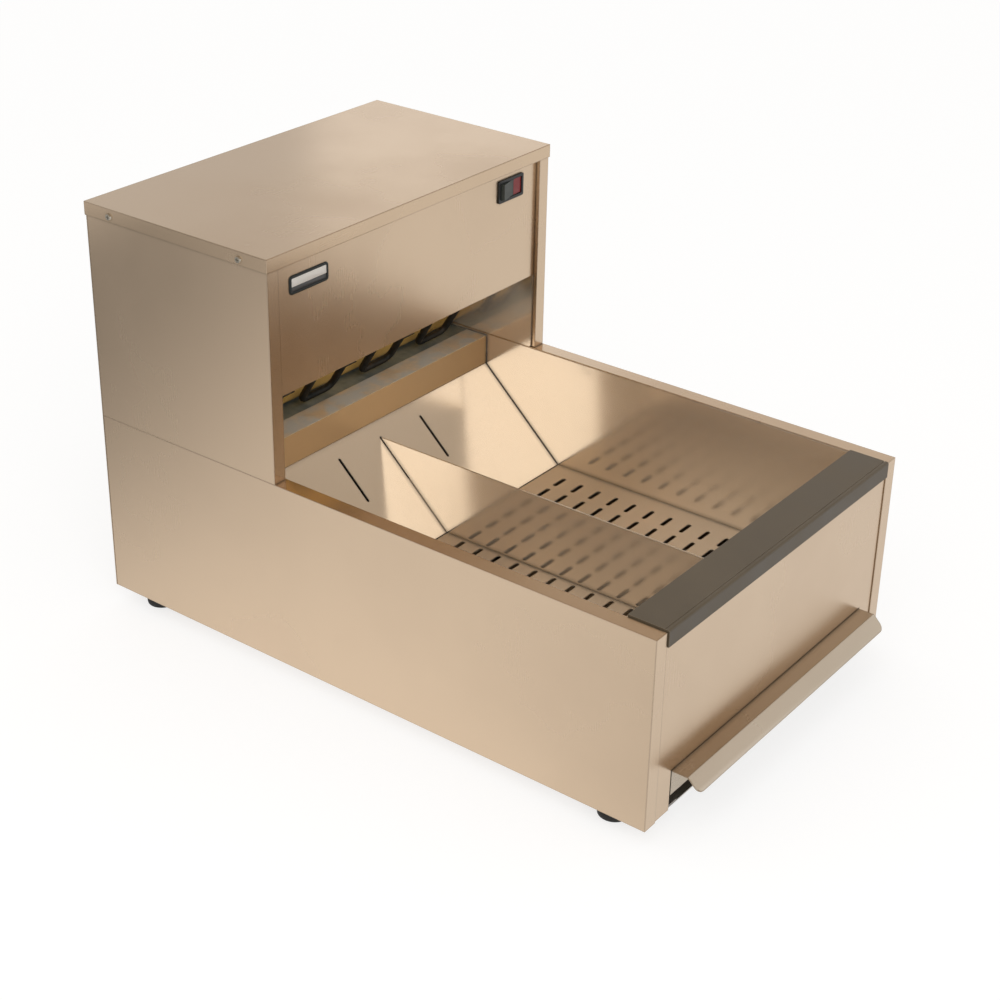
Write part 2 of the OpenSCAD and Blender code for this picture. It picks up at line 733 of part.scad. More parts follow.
// Bent tube of the element: straight legs joined by runs with round corners
module heater_element() color("#5a5148") placed() heater_plane() {
    low = element_corner_r;
    high = element_l - tube_d - element_corner_r;
    for (i = [0:leg_count - 1]) {
        is_end = i == 0 || i == leg_count - 1;
        translate([(i - (leg_count - 1) / 2) * leg_pitch, 0, low - eps])
            cylinder(h = (is_end ? end_l : high) - low + 2 * eps, r = element_r, $fn = 48);
    }
    for (i = [0:leg_count - 2])
        translate([(i - leg_count / 2 + 1) * leg_pitch, 0, i % 2 == 0 ? low : high])
            rotate([90, 0, 0]) rotate(i % 2 == 0 ? 180 : 0) element_run();
}
module element_run() {
    for (s = [0, 1])
        translate([(1 - 2 * s) * half_run, 0]) rotate(90 * s)
            rotate_extrude(angle = 90, $fn = 64) translate([element_corner_r, 0]) circle(element_r, $fn = 48);
    translate([-half_run - eps, element_corner_r, 0]) rotate([0, 90, 0])
        cylinder(h = 2 * half_run + 2 * eps, r = element_r, $fn = 48);
}

// Clips that stand on the reflector and hold the inner legs
clip_legs = [for (i = [1:2:leg_count - 2]) i];
module element_clips() color("#8f8468") placed() heater_plane()
    for (i = clip_legs)
        translate([(i - (leg_count - 1) / 2) * leg_pitch, 0, element_l / 2]) {
            difference() {
                block([-9, 9], [-element_r - 4, reflector_gap], [0, sheet]);
                translate([0, 0, -1]) cylinder(h = sheet + 2, r = element_r + 0.1, $fn = 48);
            }
            block([-9, 9], [reflector_gap - sheet, reflector_gap], [sheet - eps, 12]);
        }

// Ceramic bushings round the element's ends where they pass the ceiling
bushing_r = element_r + 4;
module element_bushings() color("#efe9dc") placed()
    element_ends() translate([0, 0, end_l - 24]) difference() {
        cylinder(h = 18, r = bushing_r, $fn = 48);
        translate([0, 0, -1]) cylinder(h = 20, r = element_r + 0.1, $fn = 48);
    }

// Duct from the deck down to the fan's inlet
module return_duct() color(steel) placed() translate([0, fan_y, scroll_top_z]) difference() {
    cylinder(h = deck_z - sheet - scroll_top_z, r = inlet_r + 3);
    translate([0, 0, -1]) cylinder(h = deck_z, r = inlet_r + 3 - sheet);
}

// Fan housing and the duct that leads forward from it
module fan_housing() color("#a9a294") placed() {
    body_y0 = partition_y;
    difference() {
        union() {
            translate([0, fan_y, scroll_z]) cylinder(h = scroll_h, r = scroll_r);
            block([scroll_r - duct_w, scroll_r], [body_y0, fan_y], [scroll_z, scroll_top_z]);
        }
        translate([0, fan_y, scroll_z + sheet]) cylinder(h = scroll_h - 2 * sheet, r = scroll_r - sheet);
        duct_space(body_y0 - 1);
        translate([0, fan_y, scroll_z + sheet]) cylinder(h = scroll_h, r = inlet_r);
        translate([0, fan_y, scroll_z - 1]) cylinder(h = sheet + 2, r = shaft_r + 6, $fn = 48);
    }
}

// Fan wheel: a back plate with a hub, blades and a ring over them
wheel_z = scroll_z + sheet + 3;
wheel_h = scroll_h - 2 * sheet - 6;
module fan_wheel() color("#77736c") placed() translate([0, fan_y, wheel_z]) {
    blade_in = wheel_r - 12;
    difference() {
        union() {
            cylinder(h = 2, r = wheel_r);
            cylinder(h = 22, r = 9, $fn = 48);
        }
        translate([0, 0, -1]) cylinder(h = 26, r = shaft_r, $fn = 48);
    }
    for (i = [0:blade_count - 1])
        rotate(i * 360 / blade_count) translate([blade_in, -0.6, 1.5]) cube([11, 1.2, wheel_h - 2]);
    translate([0, 0, wheel_h - 2]) difference() {
        cylinder(h = 2, r = wheel_r);
        translate([0, 0, -1]) cylinder(h = 4, r = blade_in - 1);
    }
}

// Motor shaft
motor_h = 40;
motor_z = fan_bracket_h - sheet - motor_h;
module fan_shaft() color("#b7b7b4") placed()
    translate([0, fan_y, motor_z + 5]) cylinder(h = wheel_z + 20 - motor_z - 5, r = shaft_r, $fn = 48);

// Motor under the fan's bracket
module fan_motor() color("#3c3f42") placed() translate([0, fan_y, motor_z]) difference() {
    cylinder(h = motor_h, r = motor_r);
    translate([0, 0, 4]) cylinder(h = motor_h, r = shaft_r + pivot_gap, $fn = 48);
    for (i = [0:11])
        rotate(i * 30) translate([motor_r, 0, 8]) cylinder(h = motor_h - 16, r = 2.5, $fn = 24);
}

// Bracket that carries the fan and the motor over the base
module fan_bracket() color(steel) placed() {
    x = scroll_r + 6;
    y = [fan_y - scroll_r + 8, fan_y + scroll_r - 8];
    top = fan_bracket_h;
    difference() {
        block([-x, x], y, [top - sheet, top]);
        translate([0, fan_y, top - 2 * sheet]) cylinder(h = 3 * sheet, r = shaft_r + 6, $fn = 48);
    }
    for (s = [-1, 1])
        scale([s, 1, 1]) {
            block([x - sheet, x], y, [base_top_z, top - sheet + eps]);
            block([x - eps, x + 14], y, [base_top_z, base_top_z + sheet]);
        }
}

// Moves a piece to the middle of the switch on the hood's front, with +Y into the hood
module switch_place() translate([switch_x, hood_panel_y, switch_z]) children();

// Frame and body of the switch, with holes for the rocker's pivots
bezel_t = 2;
module switch_housing() color(black) placed() switch_place() {
    open_w = rocker_w + 2 * rocker_gap + 0.8;
    open_h = rocker_h + 2 * rocker_gap;
    body_d1 = 26;
    difference() {
        union() {
            along(-bezel_t, 0) rounded(switch_w, switch_h, 2);
            block([-(switch_w - 4) / 2, (switch_w - 4) / 2], [-eps, body_d1],
                [-(switch_h - 4) / 2, (switch_h - 4) / 2]);
        }
        block([-open_w / 2, open_w / 2], [-bezel_t - 1, 14], [-open_h / 2, open_h / 2]);
        translate([0, rocker_pivot, -(open_h / 2 + 1.4)])
            cylinder(h = open_h + 2.8, r = pivot_r + pivot_gap, $fn = 32);
    }
    for (x = [-10, 0, 10])
        block([x - 3, x + 3], [body_d1 - eps, body_d1 + 8], [-0.4, 0.4]);
}

// Outline of the rocker seen from above: two faces that meet in a shallow valley
rocker_face_x = 4;
module rocker_outline() {
    half = rocker_w / 2;
    polygon([[-half, -3.4], [0, -1.6], [half, -3.4], [half, 1.5], [6, 7.5], [-6, 7.5], [-half, 1.5]]);
}
module rocker_turned()
    switch_place() translate([0, rocker_pivot, 0]) rotate([0, 0, rocker_throw / 2])
        translate([0, -rocker_pivot, 0]) children();

// Rocker with its two pivot pins
module switch_rocker() color("#34332f") placed() rocker_turned() {
    translate([0, 0, -rocker_h / 2]) linear_extrude(rocker_h) difference() {
        rocker_outline();
        translate([rocker_face_x, -6]) square([rocker_w, 5.4]);
    }
    translate([0, rocker_pivot, -rocker_h / 2 - 1.3])
        cylinder(h = rocker_h + 2.6, r = pivot_r, $fn = 32);
}

// Red part of the rocker
module switch_lens() color("#b5231b") placed() rocker_turned()
    translate([0, 0, -rocker_h / 2]) linear_extrude(rocker_h) intersection() {
        rocker_outline();
        translate([rocker_face_x, -6]) square([rocker_w, 5.4]);
    }

// Bare badge plate
module badge() color("#c9c3b8") placed() translate([-badge_x, hood_panel_y, badge_z]) {
    along(-badge_t, 0) rounded(badge_w, badge_h, 2);
}

// Bracket for the controls above the ceiling
control_w = 124;
control_in = 26;
control_x = [side_x - control_in - control_w, side_x - control_in];
control_y = [hood_panel_back_y + 80, back_in_y - 20];
control_z = chamber_z + sheet + pad_t;
module control_bracket() color(steel) placed() {
    block(control_x, control_y, [control_z, control_z + sheet]);
    block([control_x[0], control_x[0] + sheet], control_y, [chamber_z + sheet, control_z + eps]);
    block([control_x[1] - sheet, control_x[1]], control_y, [chamber_z + sheet, control_z + eps]);
}

// Thermostat, on the bracket
module thermostat() color("#4a4641") placed()
    translate([control_x[0] + 26, control_y[0] + 30, control_z + sheet]) {
        translate([-17, -17, 0]) cube([34, 34, 20]);
        translate([0, 0, 20 - eps]) cylinder(h = 6, r = 12, $fn = 48);
        for (s = [-1, 1])
            translate([s * 10 - 3, 17 - eps, 8]) cube([6, 8, 0.8]);
    }

// Over-temperature cut-out, on the ceiling
module high_limit() color("#2e2c2a") placed()
    translate([-60, hood_panel_back_y + 40, chamber_z + sheet]) {
        cylinder(h = 1, r = 12, $fn = 48);
        cylinder(h = 12, r = 8.5, $fn = 48);
        for (s = [-1, 1])
            translate([s * 5 - 3, -0.4, 12 - eps]) cube([6, 0.8, 8]);
    }

// Terminal block, on the bracket
terminal_pitch = 12;
terminal_count = 6;
terminal_d = 22;
terminal_h = 18;
terminal_mid_y = control_y[1] - 19;
function terminal_x(i) = control_x[0] + 12 + terminal_pitch * (i + 0.5);
module terminal_block() color("#ded8c8") placed() difference() {
    block([terminal_x(-0.5), terminal_x(terminal_count - 0.5)],
        [terminal_mid_y - terminal_d / 2, terminal_mid_y + terminal_d / 2],
        [control_z + sheet, control_z + sheet + terminal_h]);
    for (i = [0:terminal_count - 1])
        translate([terminal_x(i), terminal_mid_y, control_z + sheet + 6])
            cylinder(h = terminal_h, r = 3, $fn = 24);
}

// Tube of a wire along a route: rings that turn with the route
function unit(v) = v / norm(v);
function tangent(p, i) =
    i == 0 ? unit(p[1] - p[0])
    : i == len(p) - 1 ? unit(p[i] - p[i - 1])
    : unit(unit(p[i] - p[i - 1]) + unit(p[i + 1] - p[i]));
function turned(u, t) = unit(u - (u * t) * t);
function sides(p) = [
    for (i = 0, u = turned([0.36, 0.48, 0.8], tangent(p, 0)); i < len(p);
        i = i + 1, u = i < len(p) ? turned(u, tangent(p, i)) : u) u];
module wire(p) {
    n = 8;
    us = sides(p);
    points = [
        for (i = [0:len(p) - 1], k = [0:n - 1])
            p[i] + wire_r * (cos(360 * k / n) * us[i] + sin(360 * k / n) * cross(tangent(p, i), us[i]))];
    walls = [
        for (i = [0:len(p) - 2], k = [0:n - 1])
            let (a = i * n + k, b = i * n + (k + 1) % n) each [[a, a + n, b], [b, a + n, b + n]]];
    first = [for (k = [1:n - 2]) [0, k, k + 1]];
    end = (len(p) - 1) * n;
    last = [for (k = [1:n - 2]) [end, end + k + 1, end + k]];
    polyhedron(points, concat(walls, first, last));
}

// Wires between the terminal block, the motor, the switch and the element
riser_x = control_x[1] - 14;
riser_y = back_in_y - 7.7;
riser_hole_r = 7;
riser_spread = 2.2;
wire_r = 1.6;
terminal_top_z = control_z + sheet + terminal_h;
module wiring_loom() color("#8c2f24") placed() {
    for (k = [0, 1]) {
        side = 2 * k - 1;
        motor_wire(k, side);
        switch_wire(k, side);
    }
    element_wire(-1, 2, [[-140, 175, 12], [102, 236, 14], [122, 288, 12]]);
    element_wire(1, 3, [[160, 180, 2], [138, 288, 8]]);
}

// The last points of a wire, down into the given hole of the terminal block
function into_terminal(i) = [[terminal_x(i), terminal_mid_y - 8, terminal_top_z + 14],
    [terminal_x(i), terminal_mid_y, terminal_top_z + 5], [terminal_x(i), terminal_mid_y, terminal_top_z - 5]];

module motor_wire(k, side) {
    run_z = 25 + 7 * k;
    run_y = riser_y - riser_spread * side;
    up_x = riser_x - riser_spread * side;
    over_z = terminal_top_z + 27 - 14 * k;
    end_x = terminal_x(terminal_count - 1 - k);
    wire([[6 * side, fan_y + motor_r + 0.1, run_z], [6 * side, run_y - 6, run_z],
        [6 * side + 6, run_y, run_z], [up_x - 6, run_y, run_z], [up_x, run_y, run_z + 6],
        [up_x, run_y, over_z - 5], [end_x + 8, run_y - 8, over_z],
        [end_x, terminal_mid_y + 12, over_z - 1], [end_x, terminal_mid_y, terminal_top_z + 5],
        [end_x, terminal_mid_y, terminal_top_z - 5]]);
}
module switch_wire(k, side) {
    x = switch_x + 10 * side;
    y = hood_panel_y + 34.1;
    wire(concat([[x, y, switch_z], [x, y + 24, switch_z - 6],
        [terminal_x(k), terminal_mid_y - 40, terminal_top_z + 30]], into_terminal(k)));
}
module element_wire(s, i, route) {
    x = s * (leg_count - 1) * leg_pitch / 2;
    y = element_foot_y - end_l * sin(heater_lean);
    z = element_foot_z + end_l * cos(heater_lean);
    wire(concat([[x, y, z + 0.2], [x, y - 5, z + 10]],
        [for (p = route) [p[0], p[1], terminal_top_z + p[2]]], into_terminal(i)));
}

// Gland that a cord passes through, outside the lower back panel
module gland_place() translate([gland_x, back_y, gland_z]) rotate([-90, 0, 0]) children();
module cord_gland() color(black) placed() gland_place() difference() {
    union() {
        cylinder(h = 6, r = gland_r + 4, $fn = 6);
        translate([0, 0, 6 - eps]) cylinder(h = gland_reach - 6 + eps, r1 = gland_r + 2, r2 = cord_r + 1.6);
        translate([0, 0, -14]) cylinder(h = 14 + eps, r = gland_r);
    }
    translate([0, 0, -20]) cylinder(h = 50, r = cord_r);
}

// Nut that holds the gland from inside
module gland_nut() color(black) placed() gland_place() translate([0, 0, -sheet - 5]) difference() {
    cylinder(h = 5, r = gland_r + 4.5, $fn = 6);
    translate([0, 0, -1]) cylinder(h = 7, r = gland_r + 0.05);
}

// Rubber foot with a pocket for its screw's head
foot_pocket = 9;
foot_bore = 3.1;
module foot(x, y) color(black) placed() translate([x, y, -foot_h]) difference() {
    cylinder(h = foot_h, d1 = foot_d - 3, d2 = foot_d);
    translate([0, 0, -1]) cylinder(h = foot_pocket + 1, r = 7, $fn = 48);
    translate([0, 0, -1]) cylinder(h = foot_h + 2, r = foot_bore, $fn = 32);
}
module foot_front_left() foot(-foot_x, foot_front_y);
module foot_front_right() foot(foot_x, foot_front_y);
module foot_back_left() foot(-foot_x, foot_back_y);
module foot_back_right() foot(foot_x, foot_back_y);

// Screws and nuts of the feet
module at_feet()
    for (sx = [-1, 1], y = [foot_front_y, foot_back_y])
        translate([sx * foot_x, y, 0]) children();
module foot_screws() color("#8d8f92") placed() at_feet()
    translate([0, 0, foot_pocket - foot_h]) rotate([180, 0, 0]) screw(foot_h - foot_pocket + 10, 3);
module foot_nuts() color("#8d8f92") placed() at_feet() translate([0, 0, base_top_z]) difference() {
    cylinder(h = 5, r = 5.8, $fn = 6);
    translate([0, 0, -1]) cylinder(h = 7, r = 3.05, $fn = 32);
}

// Screws of the top cover, through its skirt into the side panels
module cover_screws() color("#9a948a") placed()
    for (s = [0, 1], y = cover_screw_ys)
        mirror([s, 0, 0]) translate([-side_x - sheet, y, cover_screw_z]) rotate([0, -90, 0]) screw(8);

// Screws of the two back panels
module back_screws() color("#9a948a") placed()
    for (s = [-1, 1], z = concat(lower_screw_zs, upper_screw_zs))
        translate([s * back_screw_x, back_y, z]) rotate([-90, 0, 0]) screw(8);

body_left_panel();
body_right_panel();
body_front_panel();
body_back_panel();
base_pan();
front_rail();
bin_wall_left();
bin_wall_right();
bin_wall_front();
bin_floor();
bin_slope();
bin_ledge();
divider_guides();
divider();
insulation_left();
insulation_right();
insulation_front();
crumb_tray();
tray_runner_left();
tray_runner_right();
partition();
hood_left_panel();
hood_right_panel();
hood_front_panel();
hood_back_panel();
hood_inner_left();
hood_inner_right();
chamber_ceiling();
hood_insulation();
top_cover();
air_deck();
heater_reflector();
heater_element();
element_clips();
element_bushings();
return_duct();
fan_housing();
fan_wheel();
fan_shaft();
fan_motor();
fan_bracket();
switch_housing();
switch_rocker();
switch_lens();
badge();
thermostat();
high_limit();
terminal_block();
control_bracket();
wiring_loom();
cord_gland();
gland_nut();
foot_front_left();
foot_front_right();
foot_back_left();
foot_back_right();
foot_screws();
foot_nuts();
cover_screws();
back_screws();
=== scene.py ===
"""Dressed model of a counter-top chip warmer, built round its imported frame.

The cabinet's sheets, the bin, the hood, the heater, the fan, the tray and the small parts are dressed here,
each sub-assembly by a class of its own. Sizes are in metres, +X to the right, +Y to the back and +Z up.
"""

import json
import logging
import math
from dataclasses import dataclass, field
from enum import Enum
from typing import ClassVar

import bmesh
import bpy
from mathutils import Matrix, Vector, noise


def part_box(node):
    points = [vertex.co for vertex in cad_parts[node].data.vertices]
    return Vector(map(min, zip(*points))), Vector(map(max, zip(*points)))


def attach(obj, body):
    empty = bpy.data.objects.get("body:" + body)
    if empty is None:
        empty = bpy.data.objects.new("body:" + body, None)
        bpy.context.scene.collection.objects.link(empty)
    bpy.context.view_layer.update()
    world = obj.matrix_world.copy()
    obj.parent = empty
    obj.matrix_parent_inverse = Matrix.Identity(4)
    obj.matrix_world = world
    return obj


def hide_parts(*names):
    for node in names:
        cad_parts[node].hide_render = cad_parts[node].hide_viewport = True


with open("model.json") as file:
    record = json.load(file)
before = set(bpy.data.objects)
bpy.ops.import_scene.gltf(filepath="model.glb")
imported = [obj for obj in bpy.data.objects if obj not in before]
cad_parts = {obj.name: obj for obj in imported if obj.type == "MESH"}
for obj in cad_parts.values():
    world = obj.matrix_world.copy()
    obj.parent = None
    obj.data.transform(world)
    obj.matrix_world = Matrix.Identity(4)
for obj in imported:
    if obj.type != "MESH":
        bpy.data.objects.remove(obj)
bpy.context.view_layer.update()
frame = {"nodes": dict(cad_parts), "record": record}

LOG = logging.getLogger("chip_warmer")
MM = 0.001
BODY_Y = 6.3675 * MM
FOOT_H = 20 * MM
WELD_REACH = 0.005 * MM
FLAT_ANGLE = math.radians(0.4)
EDGE_ANGLE = math.radians(32)
SHADING_WEIGHT = 80
SKIN_DEPTH = 0.1 * MM
Colour = tuple[float, float, float]
Point = tuple[float, float, float]
Pair = tuple[float, float]
Ring = tuple[float, float, float, float]
Socket = bpy.types.NodeSocket
FULL: Pair = (0.0, 1.0)
BROAD: Pair = (0.3, 0.7)
MIDDLE: Pair = (0.35, 0.65)


def at(x: float, y: float, z: float) -> Vector:
    """Returns the place in metres of a point given in millimetres from the cabinet's own planes."""
    return Vector((x * MM, y * MM + BODY_Y, z * MM + FOOT_H))


class Grain(Enum):
    """Direction in which a sheet was brushed, as the stretch of its streaks along X, Y and Z."""

    ALONG_X = (0.012, 1.0, 1.0)
    ALONG_Y = (1.0, 0.012, 1.0)
    ALONG_Z = (1.0, 1.0, 0.012)


class MaterialTree:
    """Short hand for the nodes of one material."""

    MIX_INPUTS = (0, 6, 7)
    MIX_RESULT = 2
    EDGE_SAMPLES = 4
    EDGE_TURN: Pair = (0.99, 0.86)
    UPWARD: Pair = (0.6, 0.9)
    CORNER_SAMPLES = 6
    CORNER_SHADE: Pair = (0.5, 0.93)

    def __init__(self, name: str) -> None:
        """Starts a material that holds only its output and the piece's own coordinates.

        Args:
            name: the material's name.
        """
        self.material = bpy.data.materials.new(name)
        self.material.use_nodes = True
        self.tree = self.material.node_tree
        self.tree.nodes.clear()
        self.output = self.add("ShaderNodeOutputMaterial")
        self.coordinates = self.add("ShaderNodeTexCoord").outputs["Object"]

    def add(self, kind: str, **settings: object) -> bpy.types.Node:
        """Adds a node.

        Args:
            kind: the node's type name.
            **settings: values of the node's own properties.

        Returns:
            The new node.
        """
        node = self.tree.nodes.new(kind)
        for key, value in settings.items():
            setattr(node, key, value)
        return node

    def feed(self, socket: Socket, value: object) -> None:
        """Links an output to a socket, or sets the socket's own value.

        Args:
            socket: the input to feed.
            value: an output socket, a number or a tuple.
        """
        if isinstance(value, Socket):
            self.tree.links.new(value, socket)
        elif isinstance(value, tuple) and len(value) == 3 and socket.type == "RGBA":
            socket.default_value = (*value, 1.0)
        else:
            socket.default_value = value

    def surface(self, colour: object, roughness: object, normal: object, **sockets: object) -> None:
        """Adds the surface shader and joins it to the output.

        Args:
            colour: base colour, a socket or a linear colour.
            roughness: roughness, a socket or a number.
            normal: bumped normal.
            **sockets: values for other sockets, with _ for a space in their names.
        """
        shader = self.add("ShaderNodeBsdfPrincipled")
        self.feed(shader.inputs["Base Color"], colour)
        self.feed(shader.inputs["Roughness"], roughness)
        self.feed(shader.inputs["Normal"], normal)
        for key, value in sockets.items():
            self.feed(shader.inputs[key.replace("_", " ")], value)
        self.feed(self.output.inputs["Surface"], shader.outputs[0])

    def stretched(self, scale: Point, turn: Point = (0.0, 0.0, 0.0)) -> Socket:
        """Returns the piece's own coordinates, scaled along each axis and turned by angles in radians.

        Args:
            scale: the factor along each axis.
            turn: the angle about each axis, in radians.

        Returns:
            The coordinates, for a texture to be read at.
        """
        mapping = self.add("ShaderNodeMapping")
        self.feed(mapping.inputs["Vector"], self.coordinates)
        self.feed(mapping.inputs["Scale"], scale)
        self.feed(mapping.inputs["Rotation"], turn)
        return mapping.outputs[0]

    def noise(self, vector: object, scale: float, detail: float = 2.0, rough: float = 0.5) -> Socket:
        """Returns a noise value.

        Args:
            vector: coordinates to read it at.
            scale: waves per unit of the coordinates.
            detail: octaves.
            rough: weight of the finer octaves.

        Returns:
            The noise's output, around 0.5.
        """
        texture = self.add("ShaderNodeTexNoise")
        self.feed(texture.inputs["Vector"], vector)
        self.feed(texture.inputs["Scale"], scale)
        self.feed(texture.inputs["Detail"], detail)
        self.feed(texture.inputs["Roughness"], rough)
        return texture.outputs["Fac"]

    def cells(self, vector: object, scale: float) -> bpy.types.Node:
        """Returns a cell texture.

        Args:
            vector: coordinates to read it at.
            scale: cells per unit of the coordinates.

        Returns:
            The texture's node, whose outputs are its distance and colour.
        """
        texture = self.add("ShaderNodeTexVoronoi")
        self.feed(texture.inputs["Vector"], vector)
        self.feed(texture.inputs["Scale"], scale)
        return texture

    def spread(self, value: object, span: Pair, target: Pair) -> Socket:
        """Returns a value moved from one range into another, and held inside it.

        Args:
            value: the value, as a texture's output.
            span: the range that it comes from.
            target: the range that it goes to.

        Returns:
            The moved value.
        """
        node = self.add("ShaderNodeMapRange")
        for socket, entry in zip(node.inputs, (value, *span, *target)):
            self.feed(socket, entry)
        return node.outputs[0]

    def math(self, operation: str, first: object, second: object = 0.0) -> Socket:
        """Returns the result of one sum on two values.

        Args:
            operation: the sum's name, as the node has it.
            first: the first value.
            second: the second value, where the sum has two.

        Returns:
            The result.
        """
        node = self.add("ShaderNodeMath", operation=operation)
        self.feed(node.inputs[0], first)
        self.feed(node.inputs[1], second)
        return node.outputs[0]

    def mixed(self, amount: object, first: object, second: object) -> Socket:
        """Returns a colour between two others.

        Args:
            amount: share of the second colour, 0 to 1.
            first: the colour at 0.
            second: the colour at 1.

        Returns:
            The mixed colour.
        """
        node = self.add("ShaderNodeMix", data_type="RGBA")
        for index, value in zip(self.MIX_INPUTS, (amount, first, second)):
            self.feed(node.inputs[index], value)
        return node.outputs[self.MIX_RESULT]

    def toward(self, colour: object, other: object, value: object, span: Pair, most: float = 1.0) -> Socket:
        """Returns a colour that turns into another where a value is high.

        Args:
            colour: the colour at the low end of the value's range.
            other: the colour that it turns into.
            value: the value, as a texture's output.
            span: the value's range.
            most: share of the other colour at the high end.

        Returns:
            The mixed colour.
        """
        return self.mixed(self.spread(value, span, (0.0, most)), colour, other)

    def varied(self, base: object, value: object, span: Pair, change: Pair) -> Socket:
        """Returns a base value, changed by as much as another value's place in its range gives."""
        return self.math("ADD", self.spread(value, span, change), base)

    def bump(self, height: object, strength: float, distance: float, under: object = None) -> Socket:
        """Returns a normal bumped by a height.

        Args:
            height: the height's output.
            strength: share of the bump, 0 to 1.
            distance: height of the bump in metres.
            under: another bump's output that this one lies on.

        Returns:
            The bumped normal.
        """
        node = self.add("ShaderNodeBump")
        self.feed(node.inputs["Strength"], strength)
        self.feed(node.inputs["Distance"], distance)
        self.feed(node.inputs["Height"], height)
        if under is not None:
            self.feed(node.inputs["Normal"], under)
        return node.outputs[0]

    def edges(self, radius: float) -> Socket:
        """Finds the piece's edges.

        Args:
            radius: how far from the edge the mask reaches, in metres.

        Returns:
            A mask that is 1 on edges and 0 on open surfaces.
        """
        rounded = self.add("ShaderNodeBevel", samples=self.EDGE_SAMPLES)
        self.feed(rounded.inputs["Radius"], radius)
        flat = self.add("ShaderNodeNewGeometry")
        dot = self.add("ShaderNodeVectorMath", operation="DOT_PRODUCT")
        self.feed(dot.inputs[0], rounded.outputs[0])
        self.feed(dot.inputs[1], flat.outputs["Normal"])
        return self.spread(dot.outputs["Value"], self.EDGE_TURN, FULL)

    def upward(self) -> Socket:
        """Finds the faces that look up.

        Returns:
            A mask that is 1 on faces that look up and 0 on steep ones.
        """
        split = self.add("ShaderNodeSeparateXYZ")
        self.feed(split.inputs[0], self.add("ShaderNodeNewGeometry").outputs["Normal"])
        return self.spread(split.outputs["Z"], self.UPWARD, FULL)

    def corners(self, reach: float) -> Socket:
        """Finds the seams and inner corners by ambient occlusion, for the painted shade that a finish lays
        there.

        Args:
            reach: how far from the corner the mask reaches, in metres.

        Returns:
            A mask that is 1 in corners and 0 on open surfaces.
        """
        shade = self.add("ShaderNodeAmbientOcclusion", samples=self.CORNER_SAMPLES)
        self.feed(shade.inputs["Distance"], reach)
        return self.spread(shade.outputs["AO"], self.CORNER_SHADE, (1.0, 0.0))


def shaded(colour: Colour, share: float) -> Colour:
    """Returns a colour made darker or lighter by a share."""
    return tuple(min(1.0, channel * share) for channel in colour)


@dataclass(frozen=True)
class Finish:
    """What every finish has: its name, its main colour and the nodes that it lays."""

    name: str
    colour: Colour

    def lay(self, tree: MaterialTree) -> None:
        """Lays the finish's nodes into an empty material."""
        raise NotImplementedError

    def material(self) -> bpy.types.Material:
        """Makes the finish's material.

        Returns:
            The material.
        """
        tree = MaterialTree(self.name)
        self.lay(tree)
        return tree.material


